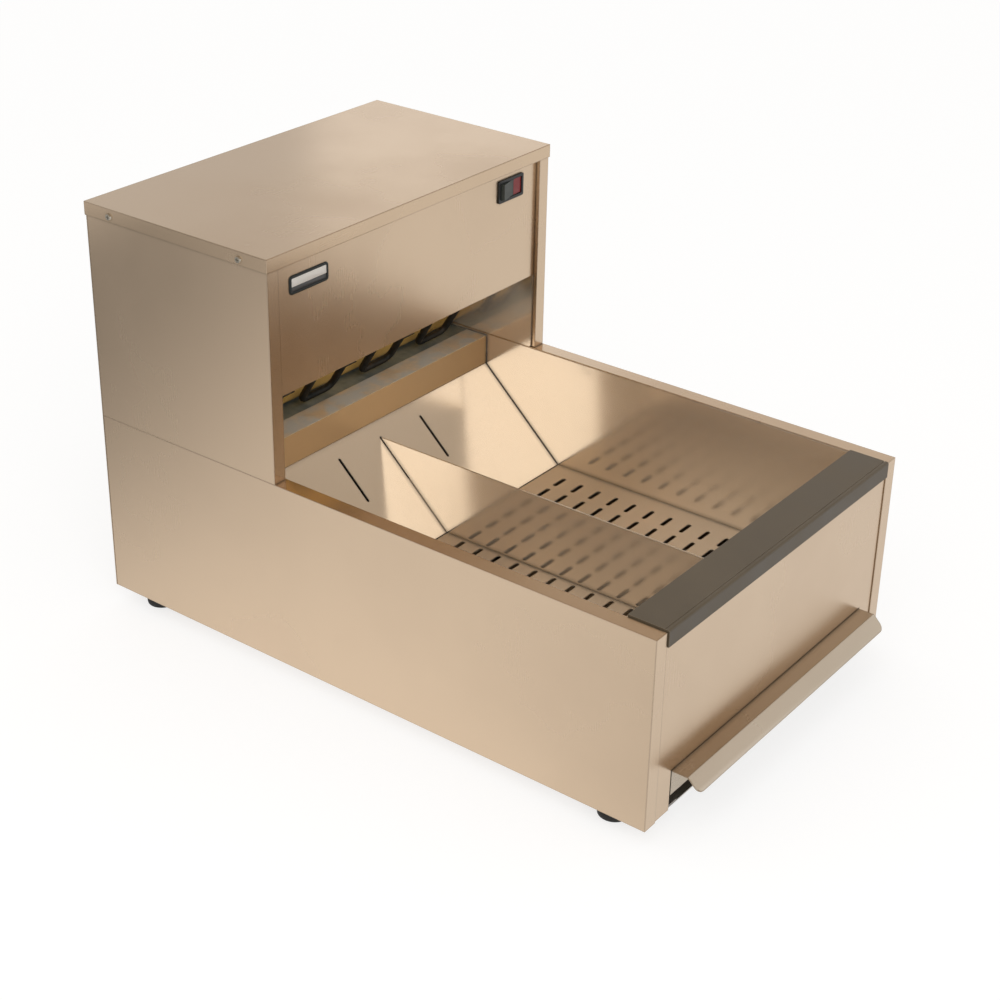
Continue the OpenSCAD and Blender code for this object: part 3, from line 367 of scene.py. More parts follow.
@dataclass(frozen=True)
class BrushedSteel(Finish):
    """Stainless sheet with brush lines, faint waves and smears.

    Its folds get a painted dark line that stands in for reflection and shade in the bend, its seams get
    painted shade, and a film, where it has one, dulls the faces that look up.
    """

    grain: Grain
    roughness: float = 0.27
    streaks: float = 0.006
    wave: float = 0.45
    smears: float = 0.035
    bump: float = 0.002
    metallic: float = 0.93
    # fold: share of the colour on the painted dark fold line, which stands in for reflection and shade in the
    # bend.
    fold: float = 0.6
    # Reach of the painted shade in seams and inner corners.
    seam_shade_reach: float = 7 * MM
    film: Colour | None = None
    LINES: ClassVar[float] = 2600.0
    LINE_SHARE: ClassVar[float] = 0.7
    LINE_ROUGH: ClassVar[Pair] = (-0.004, 0.004)
    LINE_DEPTH: ClassVar[float] = 0.12 * MM
    BANDS: ClassVar[float] = 420.0
    CLOUDS: ClassVar[float] = 7.0
    CLOUD_TONE: ClassVar[float] = 0.93
    CLOUD_SHARE: ClassVar[float] = 0.4
    SMEARS: ClassVar[float] = 2.2
    WAVES: ClassVar[float] = 4.5
    WAVE_DEPTH: ClassVar[float] = 1.2 * MM
    FOLD_R: ClassVar[float] = 2.3 * MM
    FOLD_SHADE_SHARE: ClassVar[float] = 0.8
    FOLD_POLISH: ClassVar[float] = 0.06
    SEAM_SHADE_TONE: ClassVar[float] = 0.6
    FILM_SPOTS: ClassVar[float] = 55.0
    FILM_SHARE: ClassVar[Pair] = (0.4, 1.0)
    FILM_METAL: ClassVar[float] = 0.15
    FILM_ROUGH: ClassVar[float] = 0.25

    def lay(self, tree: MaterialTree) -> None:
        """Lays the brushed steel.

        Args:
            tree: the empty material's nodes.
        """
        across = self.grain.value
        lines = tree.noise(tree.stretched(tuple(self.LINES * s for s in across)), 1.0, 2.0, 0.5)
        bands = tree.noise(tree.stretched(tuple(self.BANDS * s for s in across)), 1.0, 3.0, 0.6)
        cloud = tree.noise(tree.coordinates, self.CLOUDS, 3.0, 0.6)
        smear = tree.noise(tree.coordinates, self.SMEARS, 2.0, 0.5)
        shares = ((lines, self.LINE_SHARE), (bands, 1 - self.LINE_SHARE))
        tone = tree.math("ADD", *(tree.math("MULTIPLY", value, share) for value, share in shares))
        dark, light = (shaded(self.colour, 1 + change) for change in (-self.streaks, self.streaks))
        colour = tree.toward(dark, light, tone, BROAD)
        clouded = shaded(self.colour, self.CLOUD_TONE)
        colour = tree.toward(colour, clouded, cloud, (0.45, 0.8), self.CLOUD_SHARE)
        # Painted dark line along the folds, standing in for reflection and shade in the bend; the same edge
        # mask also lowers the roughness there.
        worn = tree.edges(self.FOLD_R)
        painted_fold_shade = tree.math("MULTIPLY", worn, self.FOLD_SHADE_SHARE)
        colour = tree.mixed(painted_fold_shade, colour, shaded(self.colour, self.fold))
        # Painted shade in seams and inner corners, found by ambient occlusion.
        colour = tree.mixed(tree.corners(self.seam_shade_reach), colour, shaded(self.colour, self.SEAM_SHADE_TONE))
        rough = tree.varied(self.roughness, tone, BROAD, self.LINE_ROUGH)
        rough = tree.varied(rough, cloud, (0.35, 0.75), (-self.smears, self.smears))
        rough = tree.varied(rough, smear, MIDDLE, (-self.smears, self.smears))
        rough = tree.math("SUBTRACT", rough, tree.math("MULTIPLY", worn, self.FOLD_POLISH))
        waves = tree.bump(tree.noise(tree.coordinates, self.WAVES, 1.0, 0.4), self.wave, self.WAVE_DEPTH)
        normal = tree.bump(lines, self.bump, self.LINE_DEPTH, waves)
        metallic = self.metallic
        if self.film is not None:
            spots = tree.noise(tree.coordinates, self.FILM_SPOTS, 4.0)
            film = tree.math("MULTIPLY", tree.upward(), tree.spread(spots, (0.3, 0.6), self.FILM_SHARE))
            colour = tree.mixed(film, colour, self.film)
            metallic = tree.spread(film, FULL, (self.metallic, self.FILM_METAL))
            rough = tree.math("ADD", rough, tree.math("MULTIPLY", film, self.FILM_ROUGH))
        tree.surface(colour, rough, normal, Metallic=metallic)


@dataclass(frozen=True)
class MillSteel(Finish):
    """Plain inner sheet as it leaves the mill, with a soft mottle."""

    roughness: float = 0.42
    CELLS: ClassVar[float] = 160.0
    CLOUDS: ClassVar[float] = 30.0
    GRIT: ClassVar[float] = 900.0

    def lay(self, tree: MaterialTree) -> None:
        """Lays the mottled steel.

        Args:
            tree: the empty material's nodes.
        """
        mottle = tree.cells(tree.coordinates, self.CELLS).outputs["Color"]
        cloud = tree.noise(tree.coordinates, self.CLOUDS, 4.0, 0.6)
        colour = tree.toward(self.colour, shaded(self.colour, 0.86), mottle, FULL, 0.5)
        colour = tree.toward(colour, shaded(self.colour, 1.08), cloud, (0.4, 0.7), 0.5)
        rough = tree.varied(self.roughness, cloud, BROAD, (-0.06, 0.08))
        normal = tree.bump(tree.noise(tree.coordinates, self.GRIT, 2.0), 0.12, SKIN_DEPTH)
        tree.surface(colour, rough, normal, Metallic=1.0)


@dataclass(frozen=True)
class HotMetal(Finish):
    """Metal of the heater, darkened and tinted by heat."""

    tint: Colour
    roughness: float
    metallic: float = 0.85
    SCALE: ClassVar[float] = 70.0
    BANDS: ClassVar[Point] = (24.0, 8.0, 60.0)
    GRIT: ClassVar[float] = 1400.0

    def lay(self, tree: MaterialTree) -> None:
        """Lays the heated metal.

        Args:
            tree: the empty material's nodes.
        """
        scale = tree.noise(tree.coordinates, self.SCALE, 5.0, 0.65)
        band = tree.noise(tree.stretched(self.BANDS), 1.0, 3.0, 0.6)
        colour = tree.toward(self.colour, self.tint, band, MIDDLE)
        colour = tree.toward(colour, shaded(self.colour, 0.55), scale, (0.5, 0.75), 0.6)
        rough = tree.varied(self.roughness, scale, BROAD, (-0.08, 0.15))
        normal = tree.bump(tree.noise(tree.coordinates, self.GRIT, 3.0), 0.25, SKIN_DEPTH)
        tree.surface(colour, rough, normal, Metallic=self.metallic)


@dataclass(frozen=True)
class SatinCoat(Finish):
    """Thin coat on metal, with a fine pebble, dust and edges worn paler."""

    worn: Colour
    roughness: float
    pebble: float = 0.2
    PEBBLES: ClassVar[float] = 1500.0
    PEBBLE_DEPTH: ClassVar[float] = 0.15 * MM
    CLOUDS: ClassVar[float] = 14.0
    RUB_R: ClassVar[float] = 1.0 * MM

    def lay(self, tree: MaterialTree) -> None:
        """Lays the coat.

        Args:
            tree: the empty material's nodes.
        """
        pebbles = tree.noise(tree.coordinates, self.PEBBLES, 2.0, 0.5)
        cloud = tree.noise(tree.coordinates, self.CLOUDS, 4.0, 0.6)
        colour = tree.toward(self.colour, shaded(self.colour, 1.25), cloud, (0.35, 0.7))
        rubbed = tree.math("MULTIPLY", tree.edges(self.RUB_R), tree.spread(cloud, (0.35, 0.6), (0.35, 0.9)))
        colour = tree.mixed(rubbed, colour, self.worn)
        rough = tree.varied(self.roughness, cloud, BROAD, (-0.05, 0.09))
        tree.surface(colour, rough, tree.bump(pebbles, self.pebble, self.PEBBLE_DEPTH))


@dataclass(frozen=True)
class Moulded(Finish):
    """Moulded plastic or rubber with a fine spark-eroded skin."""

    roughness: float
    skin: float = 0.2
    skin_scale: float = 1800.0
    dust: float = 0.3
    CLOUDS: ClassVar[float] = 60.0

    def lay(self, tree: MaterialTree) -> None:
        """Lays the moulded skin.

        Args:
            tree: the empty material's nodes.
        """
        cloud = tree.noise(tree.coordinates, self.CLOUDS, 4.0, 0.6)
        grey = tuple(channel * 0.8 + 0.02 for channel in self.colour)
        colour = tree.toward(self.colour, grey, cloud, (0.4, 0.75), self.dust)
        rough = tree.varied(self.roughness, cloud, BROAD, (-0.04, 0.1))
        skin = tree.noise(tree.coordinates, self.skin_scale, 2.0)
        tree.surface(colour, rough, tree.bump(skin, self.skin, SKIN_DEPTH))


@dataclass(frozen=True)
class Lens(Finish):
    """Red see-through cap over the neon lamp of the switch."""

    RIBS: ClassVar[float] = 260.0
    DEPTHS: ClassVar[float] = 120.0

    def lay(self, tree: MaterialTree) -> None:
        """Lays the see-through cap.

        Args:
            tree: the empty material's nodes.
        """
        ribs = tree.add("ShaderNodeTexWave", wave_type="BANDS", bands_direction="Z")
        tree.feed(ribs.inputs["Vector"], tree.coordinates)
        tree.feed(ribs.inputs["Scale"], self.RIBS)
        depth = tree.noise(tree.coordinates, self.DEPTHS, 2.0)
        colour = tree.toward(self.colour, shaded(self.colour, 0.7), depth, BROAD, 0.5)
        normal = tree.bump(ribs.outputs["Fac"], 0.25, SKIN_DEPTH)
        rough = tree.spread(depth, BROAD, (0.3, 0.42))
        tree.surface(
            colour, rough, normal, Transmission_Weight=0.25, IOR=1.49, Coat_Weight=0.1, Coat_Roughness=0.2
        )


@dataclass(frozen=True)
class Fibre(Finish):
    """Mineral wool: matted fibres, pale and dull."""

    FIBRES: ClassVar[Point] = (700.0, 130.0, 260.0)
    FIBRE_TURN: ClassVar[Point] = (0.2, 0.4, 0.7)
    FIBRE_DEPTH: ClassVar[float] = 0.8 * MM
    CLUMPS: ClassVar[float] = 45.0
    CLUMP_DEPTH: ClassVar[float] = 3 * MM

    def lay(self, tree: MaterialTree) -> None:
        """Lays the matted fibres.

        Args:
            tree: the empty material's nodes.
        """
        fibres = tree.noise(tree.stretched(self.FIBRES, self.FIBRE_TURN), 1.0, 5.0, 0.7)
        clump = tree.noise(tree.coordinates, self.CLUMPS, 4.0, 0.6)
        colour = tree.toward(shaded(self.colour, 0.72), self.colour, fibres, MIDDLE)
        colour = tree.toward(colour, shaded(self.colour, 0.6), clump, (0.45, 0.7), 0.5)
        lumps = tree.bump(clump, 0.6, self.CLUMP_DEPTH)
        normal = tree.bump(fibres, 0.8, self.FIBRE_DEPTH, lumps)
        tree.surface(colour, 0.95, normal, Sheen_Weight=0.3)


STEEL = (0.71, 0.547, 0.392)
COVER = (0.70, 0.532, 0.372)
POLISH = (0.85, 0.755, 0.635)
STRAW = (0.69, 0.49, 0.28)
TRAY = (0.58, 0.49, 0.385)
AMBER = (0.95, 0.58, 0.17)
FINISHES = {
    finish.name: finish
    for finish in (
        # fold sets how dark the painted fold line is, and seam how far the painted shade in seams reaches.
        BrushedSteel("panel_steel", STEEL, Grain.ALONG_Z, fold=0.5, seam_shade_reach=4 * MM),
        BrushedSteel("cover_steel", COVER, Grain.ALONG_X, fold=0.45),
        BrushedSteel("tray_steel", TRAY, Grain.ALONG_X, roughness=0.3, metallic=0.85),
        BrushedSteel(
            "bin_steel", POLISH, Grain.ALONG_Y,
            roughness=0.17, streaks=0.01, wave=0.8, smears=0.03, bump=0.008, metallic=0.8,
        ),
        BrushedSteel(
            "ledge_steel", STRAW, Grain.ALONG_X, film=(0.34, 0.32, 0.28),
            roughness=0.34, streaks=0.015, wave=0.6, smears=0.05, bump=0.008, metallic=0.75,
        ),
        BrushedSteel(
            "floor_steel", POLISH, Grain.ALONG_X,
            roughness=0.38, streaks=0.015, wave=0.6, smears=0.05, bump=0.008, metallic=0.8,
        ),
        BrushedSteel(
            "divider_steel", POLISH, Grain.ALONG_Y,
            roughness=0.15, streaks=0.01, wave=0.7, smears=0.03, bump=0.008, metallic=0.8,
        ),
        BrushedSteel(
            "reflector", AMBER, Grain.ALONG_X,
            roughness=0.3, streaks=0.02, wave=0.8, smears=0.05, bump=0.008, metallic=0.3,
        ),
        BrushedSteel(
            "bright_steel", (0.66, 0.6, 0.5), Grain.ALONG_X,
            roughness=0.22, streaks=0.02, wave=0.2, smears=0.03, bump=0.008,
        ),
        MillSteel("inner_steel", (0.46, 0.44, 0.41)),
        HotMetal("deck_dark", (0.27, 0.3, 0.28), tint=(0.13, 0.165, 0.17), roughness=0.4, metallic=0.6),
        HotMetal("element_sheath", (0.022, 0.026, 0.026), tint=(0.05, 0.045, 0.038), roughness=0.5),
        SatinCoat("rail_dark", (0.098, 0.075, 0.047), worn=(0.22, 0.18, 0.13), roughness=0.42),
        SatinCoat("motor_paint", (0.02, 0.022, 0.024), worn=(0.2, 0.19, 0.18), roughness=0.35),
        SatinCoat("badge_plate", (0.78, 0.74, 0.69), worn=(0.8, 0.77, 0.72), roughness=0.34, pebble=0.05),
        SatinCoat("badge_strip", (0.055, 0.055, 0.055), worn=(0.1, 0.1, 0.095), roughness=0.4, pebble=0.05),
        Moulded("ceramic", (0.78, 0.75, 0.67), roughness=0.55, skin=0.25, skin_scale=900.0, dust=0.4),
        Moulded("black_plastic", (0.014, 0.014, 0.014), roughness=0.36),
        Moulded("rocker_plastic", (0.05, 0.058, 0.05), roughness=0.42),
        Moulded("badge_frame", (0.006, 0.011, 0.011), roughness=0.4, skin=0.15, skin_scale=1500.0),
        Moulded("wire_cover", (0.28, 0.03, 0.02), roughness=0.5, skin=0.3, skin_scale=1200.0),
        Moulded("foot_rubber", (0.016, 0.015, 0.014), roughness=0.66, skin=0.4, skin_scale=900.0, dust=0.8),
        Lens("red_lens", (0.34, 0.006, 0.008)),
        Fibre("wool", (0.74, 0.69, 0.52)),
    )
}


class Workshop:
    """Keeps what every sub-assembly needs: the finishes in use, and the slot and body of each node."""

    def __init__(self) -> None:
        """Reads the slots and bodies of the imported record."""
        self.made: dict[str, bpy.types.Material] = {}
        self.slots = {row["node"]: row["material_slot"] for row in frame["record"]["subparts"]}
        bodies = frame["record"]["behaviour"]["bodies"]
        self.bodies = {node: body for body, nodes in bodies.items() for node in nodes}

    def finish(self, name: str) -> bpy.types.Material:
        """Returns the material of a finish, made on its first use.

        Args:
            name: the finish's name in the list of finishes.

        Returns:
            The material.
        """
        if name not in self.made:
            self.made[name] = FINISHES[name].material()
        return self.made[name]

    def dress(self, piece: bpy.types.Object, finish: str) -> None:
        """Gives every face of a piece one finish."""
        piece.data.materials.clear()
        piece.data.materials.append(self.finish(finish))

    def object(self, name: str, mesh: bpy.types.Mesh) -> bpy.types.Object:
        """Puts a mesh in the scene.

        Args:
            name: the object's name.
            mesh: the mesh.

        Returns:
            The object that holds it.
        """
        piece = bpy.data.objects.new(name, mesh)
        bpy.context.scene.collection.objects.link(piece)
        return piece

    def stands_for(self, piece: bpy.types.Object, *nodes: str, finish: str | None = None) -> None:
        """Puts a piece in the place of CAD nodes.

        Args:
            piece: the piece that is shown.
            *nodes: the nodes that it stands for, all on one body.
            finish: the finish, or the first node's own slot.
        """
        slot = self.slots[nodes[0]]
        self.dress(piece, finish or slot)
        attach(piece, self.bodies[nodes[0]])
        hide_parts(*nodes)
        LOG.info("%s stands for %s", piece.name, ", ".join(nodes))

    def solid(self, node: str, edge: float = 0.4 * MM, finish: str | None = None, smooth: int = 0) -> None:
        """Dresses a CAD node that keeps its own mesh.

        Args:
            node: the node's name.
            edge: radius of its edges.
            finish: the finish, or the node's own slot.
            smooth: subdivision steps, for round tubes.
        """
        piece = frame["nodes"][node]
        self.dress(piece, finish or self.slots[node])
        weld = piece.modifiers.new("weld", "WELD")
        weld.merge_threshold = WELD_REACH
        if smooth:
            even = piece.modifiers.new("round", "SUBSURF")
            even.levels = even.render_levels = smooth
        else:
            flats = piece.modifiers.new("flats", "DECIMATE")
            flats.decimate_type = "DISSOLVE"
            flats.angle_limit = FLAT_ANGLE
            round_edges(piece, edge, EdgeChoice.BY_ANGLE)
        LOG.info("%s keeps its own solid", node)


class EdgeChoice(Enum):
    """Which edges are rounded: Blender's name of the choice, and the faces across each rounding."""

    BY_ANGLE = ("ANGLE", 2)
    BY_WEIGHT = ("WEIGHT", 3)


def round_edges(piece: bpy.types.Object, width: float, choice: EdgeChoice) -> None:
    """Rounds a piece's edges and evens its shading.

    Args:
        piece: the piece.
        width: distance of the rounding's start from each edge.
        choice: which edges are rounded.
    """
    bevel = piece.modifiers.new("edges", "BEVEL")
    bevel.width = width
    bevel.limit_method, bevel.segments = choice.value
    bevel.angle_limit = EDGE_ANGLE
    bevel.harden_normals = False
    bevel.miter_outer = "MITER_ARC"
    if choice is EdgeChoice.BY_WEIGHT:
        piece.data.shade_smooth()
    even = piece.modifiers.new("shading", "WEIGHTED_NORMAL")
    even.keep_sharp = False
    even.weight = SHADING_WEIGHT


@dataclass
class FoldedSheet:
    """Sheet with real bends: the folds, corners and cut rims of a node each get a radius of their own."""

    shop: Workshop
    fold: float = 2.0 * MM
    inner: float = 0.8 * MM
    rim: float = 0.22 * MM
    thin: float = 1.7 * MM
    sharp: float = math.radians(34)
    cut_corner: float = math.radians(60)

    def is_thin(self, face: bmesh.types.BMFace) -> bool:
        """Tells whether a face is the cut edge of the sheet."""
        return 2 * face.calc_area() / face.calc_perimeter() < self.thin / 2

    def build(self, node: str, finish: str | None = None) -> None:
        """Builds the sheet from its node's outline.

        Args:
            node: the CAD node.
            finish: the finish, or the node's own slot.
        """
        work = bmesh.new()
        work.from_mesh(frame["nodes"][node].data)
        bmesh.ops.remove_doubles(work, verts=work.verts, dist=WELD_REACH)
        bmesh.ops.dissolve_limit(
            work, angle_limit=FLAT_ANGLE, verts=work.verts, edges=work.edges, use_dissolve_boundaries=False
        )
        weight = work.edges.layers.float.new("bevel_weight_edge")
        for edge in work.edges:
            if len(edge.link_faces) != 2 or edge.calc_face_angle(0.0) < self.sharp:
                continue
            cuts = [self.is_thin(face) for face in edge.link_faces]
            if all(cuts) and edge.calc_face_angle(0.0) < self.cut_corner:
                continue
            if any(cuts):
                edge[weight] = self.rim / self.fold
            else:
                edge[weight] = 1.0 if edge.is_convex else self.inner / self.fold
        mesh = bpy.data.meshes.new(node + "_sheet")
        work.to_mesh(mesh)
        work.free()
        piece = self.shop.object(node + "_sheet", mesh)
        round_edges(piece, self.fold, EdgeChoice.BY_WEIGHT)
        self.shop.stands_for(piece, node, finish=finish)

    def build_all(self, *nodes: str) -> None:
        """Builds the sheets of several nodes, each in its own slot's finish."""
        for node in nodes:
            self.build(node)


def closed_tube(path: list[Vector], radius: float, sides: int) -> bmesh.types.BMesh:
    """Sweeps a round tube along a path and closes its ends.

    Args:
        path: points that the tube's middle follows.
        radius: the tube's radius.
        sides: faces round the tube.

    Returns:
        The tube as a bmesh, owned by the caller.
    """
    work = bmesh.new()
    rings = []
    side = None
    for i, point in enumerate(path):
        ahead = (path[min(i + 1, len(path) - 1)] - path[max(i - 1, 0)]).normalized()
        if side is None:
            side = ahead.orthogonal().normalized()
        side = (side - ahead * side.dot(ahead)).normalized()
        up = ahead.cross(side)
        turns = [2 * math.pi * k / sides for k in range(sides)]
        spokes = [math.cos(turn) * side + math.sin(turn) * up for turn in turns]
        rings.append([work.verts.new(point + radius * spoke) for spoke in spokes])
    for first, second in zip(rings, rings[1:]):
        for k in range(sides):
            after = (k + 1) % sides
            work.faces.new((first[k], first[after], second[after], second[k]))
    work.faces.new(list(reversed(rings[0])))
    work.faces.new(rings[-1])
    return work


def turned(profile: list[Pair], steps: int) -> bmesh.types.BMesh:
    """Turns a closed profile of radius and height round the Z axis.

    Args:
        profile: points (radius, height), in order round the outline, none on the axis.
        steps: faces round the axis.

    Returns:
        The turned ring as a bmesh, owned by the caller.
    """
    work = bmesh.new()
    rings = []
    for k in range(steps):
        angle = 2 * math.pi * k / steps
        rings.append([work.verts.new((r * math.cos(angle), r * math.sin(angle), z)) for r, z in profile])
    count = len(profile)
    for k in range(steps):
        here, there = rings[k], rings[(k + 1) % steps]
        for i in range(count):
            after = (i + 1) % count
            work.faces.new((here[i], here[after], there[after], there[i]))
    bmesh.ops.recalc_face_normals(work, faces=work.faces)
    return work


def to_mesh(work: bmesh.types.BMesh, name: str, sharp: float = math.pi) -> bpy.types.Mesh:
    """Turns a bmesh into a smooth-shaded mesh and frees it.

    Args:
        work: the bmesh.
        name: the mesh's name.
        sharp: angle from which an edge stays sharp.

    Returns:
        The mesh.
    """
    mesh = bpy.data.meshes.new(name)
    work.to_mesh(mesh)
    work.free()
    mesh.shade_smooth()
    mesh.set_sharp_from_angle(angle=sharp)
    return mesh


@dataclass
class Cabinet:
    """Lower cabinet: its four panels, the pan under it, the screws and the dark rail along the front."""

    shop: Workshop
    sheets: tuple[str, ...] = (
        "body_left_panel", "body_right_panel", "body_front_panel", "body_back_panel", "base_pan",
    )
    rail_edge: float = 0.5 * MM
    screw_edge: float = 0.15 * MM

    def build(self) -> None:
        """Builds the cabinet."""
        FoldedSheet(self.shop).build_all(*self.sheets)
        self.shop.solid("front_rail", self.rail_edge)
        self.shop.solid("back_screws", self.screw_edge)


@dataclass
class FoodBin:
    """Open bin: walls, the divider's guides, slope, ledge, pierced floor and the divider."""

    shop: Workshop
    walls: tuple[str, ...] = (
        "bin_wall_left", "bin_wall_right", "bin_wall_front", "divider_guides", "bin_slope",
    )
    fold: float = 1.8 * MM
    inner: float = 0.7 * MM

    def build(self) -> None:
        """Builds the bin and the divider that lifts out of it."""
        sheet = FoldedSheet(self.shop, self.fold, self.inner)
        sheet.build_all(*self.walls)
        sheet.build("bin_ledge", "ledge_steel")
        sheet.build("bin_floor", "floor_steel")
        sheet.build("divider")


@dataclass
class CrumbTray:
    """Crumb tray with its pull shelf, and the runners that carry it."""

    shop: Workshop

    def build(self) -> None:
        """Builds the tray and its runners."""
        sheet = FoldedSheet(self.shop)
        sheet.build("crumb_tray", "tray_steel")
        sheet.build_all("tray_runner_left", "tray_runner_right")


@dataclass
class Hood:
    """Hood: outer panels, inner walls, the cover and its screws."""

    shop: Workshop
    sheets: tuple[str, ...] = (
        "hood_left_panel", "hood_right_panel", "hood_front_panel", "hood_back_panel", "hood_inner_left",
        "hood_inner_right",
    )
    cover_fold: float = 2.4 * MM
    cover_inner: float = 1.2 * MM
    screw_edge: float = 0.15 * MM

    def build(self) -> None:
        """Builds the hood."""
        FoldedSheet(self.shop).build_all(*self.sheets)
        FoldedSheet(self.shop, self.cover_fold, self.cover_inner).build("top_cover", "cover_steel")
        self.shop.solid("cover_screws", self.screw_edge)


@dataclass
class Heater:
    """Bent tube element in front of its reflector, with clips and bushings."""

    shop: Workshop
    tube_r: float = 4 * MM
    pitch: float = 50 * MM
    legs: int = 8
    corner: float = 10 * MM
    low: float = 10 * MM
    high: float = 74 * MM
    end: float = 128 * MM
    lean: float = math.radians(32)
    foot: Vector = field(default_factory=lambda: at(0, 212, 218))
    arc_steps: int = 10
    sides: int = 28
    clip_edge: float = 0.2 * MM
    bushing_edge: float = 0.8 * MM

    def place(self, across: float, along: float) -> Vector:
        """Returns a point of the element's plane, from its foot."""
        return self.foot + Vector((across, -math.sin(self.lean) * along, math.cos(self.lean) * along))

    def path(self) -> list[Vector]:
        """Lays out the tube's way: leg, run, leg, run, with a bend at every corner.

        Returns:
            The points that the tube follows, in order.
        """
        first = -(self.legs - 1) * self.pitch / 2
        points = [self.place(first, self.end)]
        for i in range(self.legs - 1):
            here, there = first + self.pitch * i, first + self.pitch * (i + 1)
            sign, level = (-1, self.low) if i % 2 == 0 else (1, self.high)
            turns = [math.pi / 2 * k / self.arc_steps for k in range(self.arc_steps + 1)]
            for turn in turns:
                across = here + self.corner * (1 - math.cos(turn))
                points.append(self.place(across, level + sign * self.corner * math.sin(turn)))
            for turn in turns:
                across = there - self.corner * (1 - math.sin(turn))
                points.append(self.place(across, level + sign * self.corner * math.cos(turn)))
        points.append(self.place(-first, self.end))
        return points

    def build(self) -> None:
        """Builds the element, the reflector and what holds them."""
        swept = closed_tube(self.path(), self.tube_r, self.sides)
        tube = self.shop.object("element_tube", to_mesh(swept, "element_tube"))
        self.shop.stands_for(tube, "heater_element")
        FoldedSheet(self.shop).build("heater_reflector")
        self.shop.solid("element_clips", self.clip_edge)
        self.shop.solid("element_bushings", self.bushing_edge)


@dataclass
class PowerSwitch:
    """Rocker switch: frame in the hood's front, rocker and its red lens."""

    shop: Workshop
    frame_edge: float = 0.6 * MM
    rocker_edge: float = 0.5 * MM
    lens_edge: float = 0.4 * MM

    def build(self) -> None:
        """Builds the switch."""
        self.shop.solid("switch_housing", self.frame_edge)
        self.shop.solid("switch_rocker", self.rocker_edge, "rocker_plastic")
        self.shop.solid("switch_lens", self.lens_edge)


@dataclass
class Badge:
    """Bare badge: a dark frame round a pale plate and a grey strip, with no mark on them."""

    shop: Workshop
    corner: float = 4 * MM
    rim: float = 2.9 * MM
    strip_share: float = 0.34
    corner_steps: int = 6
    least_r: float = 0.6 * MM
    crease: float = math.radians(50)
    joint: float = 0.3 * MM
    slack: float = 0.05 * MM
    sunk: float = 0.02 * MM
    face_edge: float = 0.2 * MM
    face_drop: float = 0.15 * MM
    plate_depth: float = 0.62
    strip_depth: float = 0.5
    moulding: tuple[Pair, ...] = (
        (0.0, 0.0), (0.0, 0.6), (0.12, 0.85), (0.35, 1.0), (0.75, 1.0), (0.92, 0.9), (1.0, 0.5), (1.0, 0.0),
    )

    def outline(self, inset: float, bottom: float, top: float) -> list[Pair]:
        """Returns a rounded outline in the badge's plane.

        Args:
            inset: distance from the badge's own outline at both sides.
            bottom: lowest height.
            top: highest height.

        Returns:
            Points (across, height), in order round the outline.
        """
        low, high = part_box("badge")
        left, right = low.x + inset, high.x - inset
        radius = max(self.corner - inset, self.least_r)
        points = []
        for x, z, start in ((right, top, 0), (left, top, 1), (left, bottom, 2), (right, bottom, 3)):
            centre_x = x - radius if x == right else x + radius
            centre_z = z - radius if z == top else z + radius
            for k in range(self.corner_steps + 1):
                turn = math.pi / 2 * (start + k / self.corner_steps)
                points.append((centre_x + radius * math.cos(turn), centre_z + radius * math.sin(turn)))
        return points

    def layered(self, name: str, rings: list[Ring], is_open: bool) -> bpy.types.Object:
        """Builds a piece from outlines that lie one inside the other.

        Args:
            name: the piece's name.
            rings: for each outline its inset, bottom, top and depth in front of the panel.
            is_open: whether the last outline joins the first, which leaves an opening, or is closed.

        Returns:
            The piece.
        """
        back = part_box("badge")[1].y
        work = bmesh.new()
        loops = []
        for inset, bottom, top, depth in rings:
            points = self.outline(inset, bottom, top)
            loops.append([work.verts.new((x, back - depth, z)) for x, z in points])
        pairs = list(zip(loops, loops[1:]))
        if is_open:
            pairs.append((loops[-1], loops[0]))
        for outer, inner in pairs:
            for k in range(len(outer)):
                after = (k + 1) % len(outer)
                work.faces.new((outer[k], outer[after], inner[after], inner[k]))
        if not is_open:
            work.faces.new(loops[0])
            work.faces.new(loops[-1])
        bmesh.ops.recalc_face_normals(work, faces=work.faces)
        return self.shop.object(name, to_mesh(work, name, self.crease))

    def build(self) -> None:
        """Builds the frame, the plate inside it and the strip along its foot."""
        low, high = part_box("badge")
        thick, rim = high.y - low.y, self.rim
        bottom, top = low.z, high.z
        rings = [(rim * a, bottom + rim * a, top - rim * a, thick * d) for a, d in self.moulding]
        self.shop.stands_for(self.layered("badge_frame", rings, True), "badge", finish="badge_frame")
        split = bottom + rim + (top - bottom - 2 * rim) * self.strip_share
        inset, edge = rim + self.slack, self.face_edge
        for name, base, head, depth in (
            ("badge_plate", split + self.joint, top - rim, thick * self.plate_depth),
            ("badge_strip", bottom + rim, split, thick * self.strip_depth),
        ):
            rings = [
                (inset, base, head, self.sunk),
                (inset, base, head, depth - self.face_drop),
                (inset + edge, base + edge, head - edge, depth),
            ]
            piece = self.layered(name, rings, False)
            self.shop.dress(piece, name)
            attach(piece, self.shop.bodies["badge"])


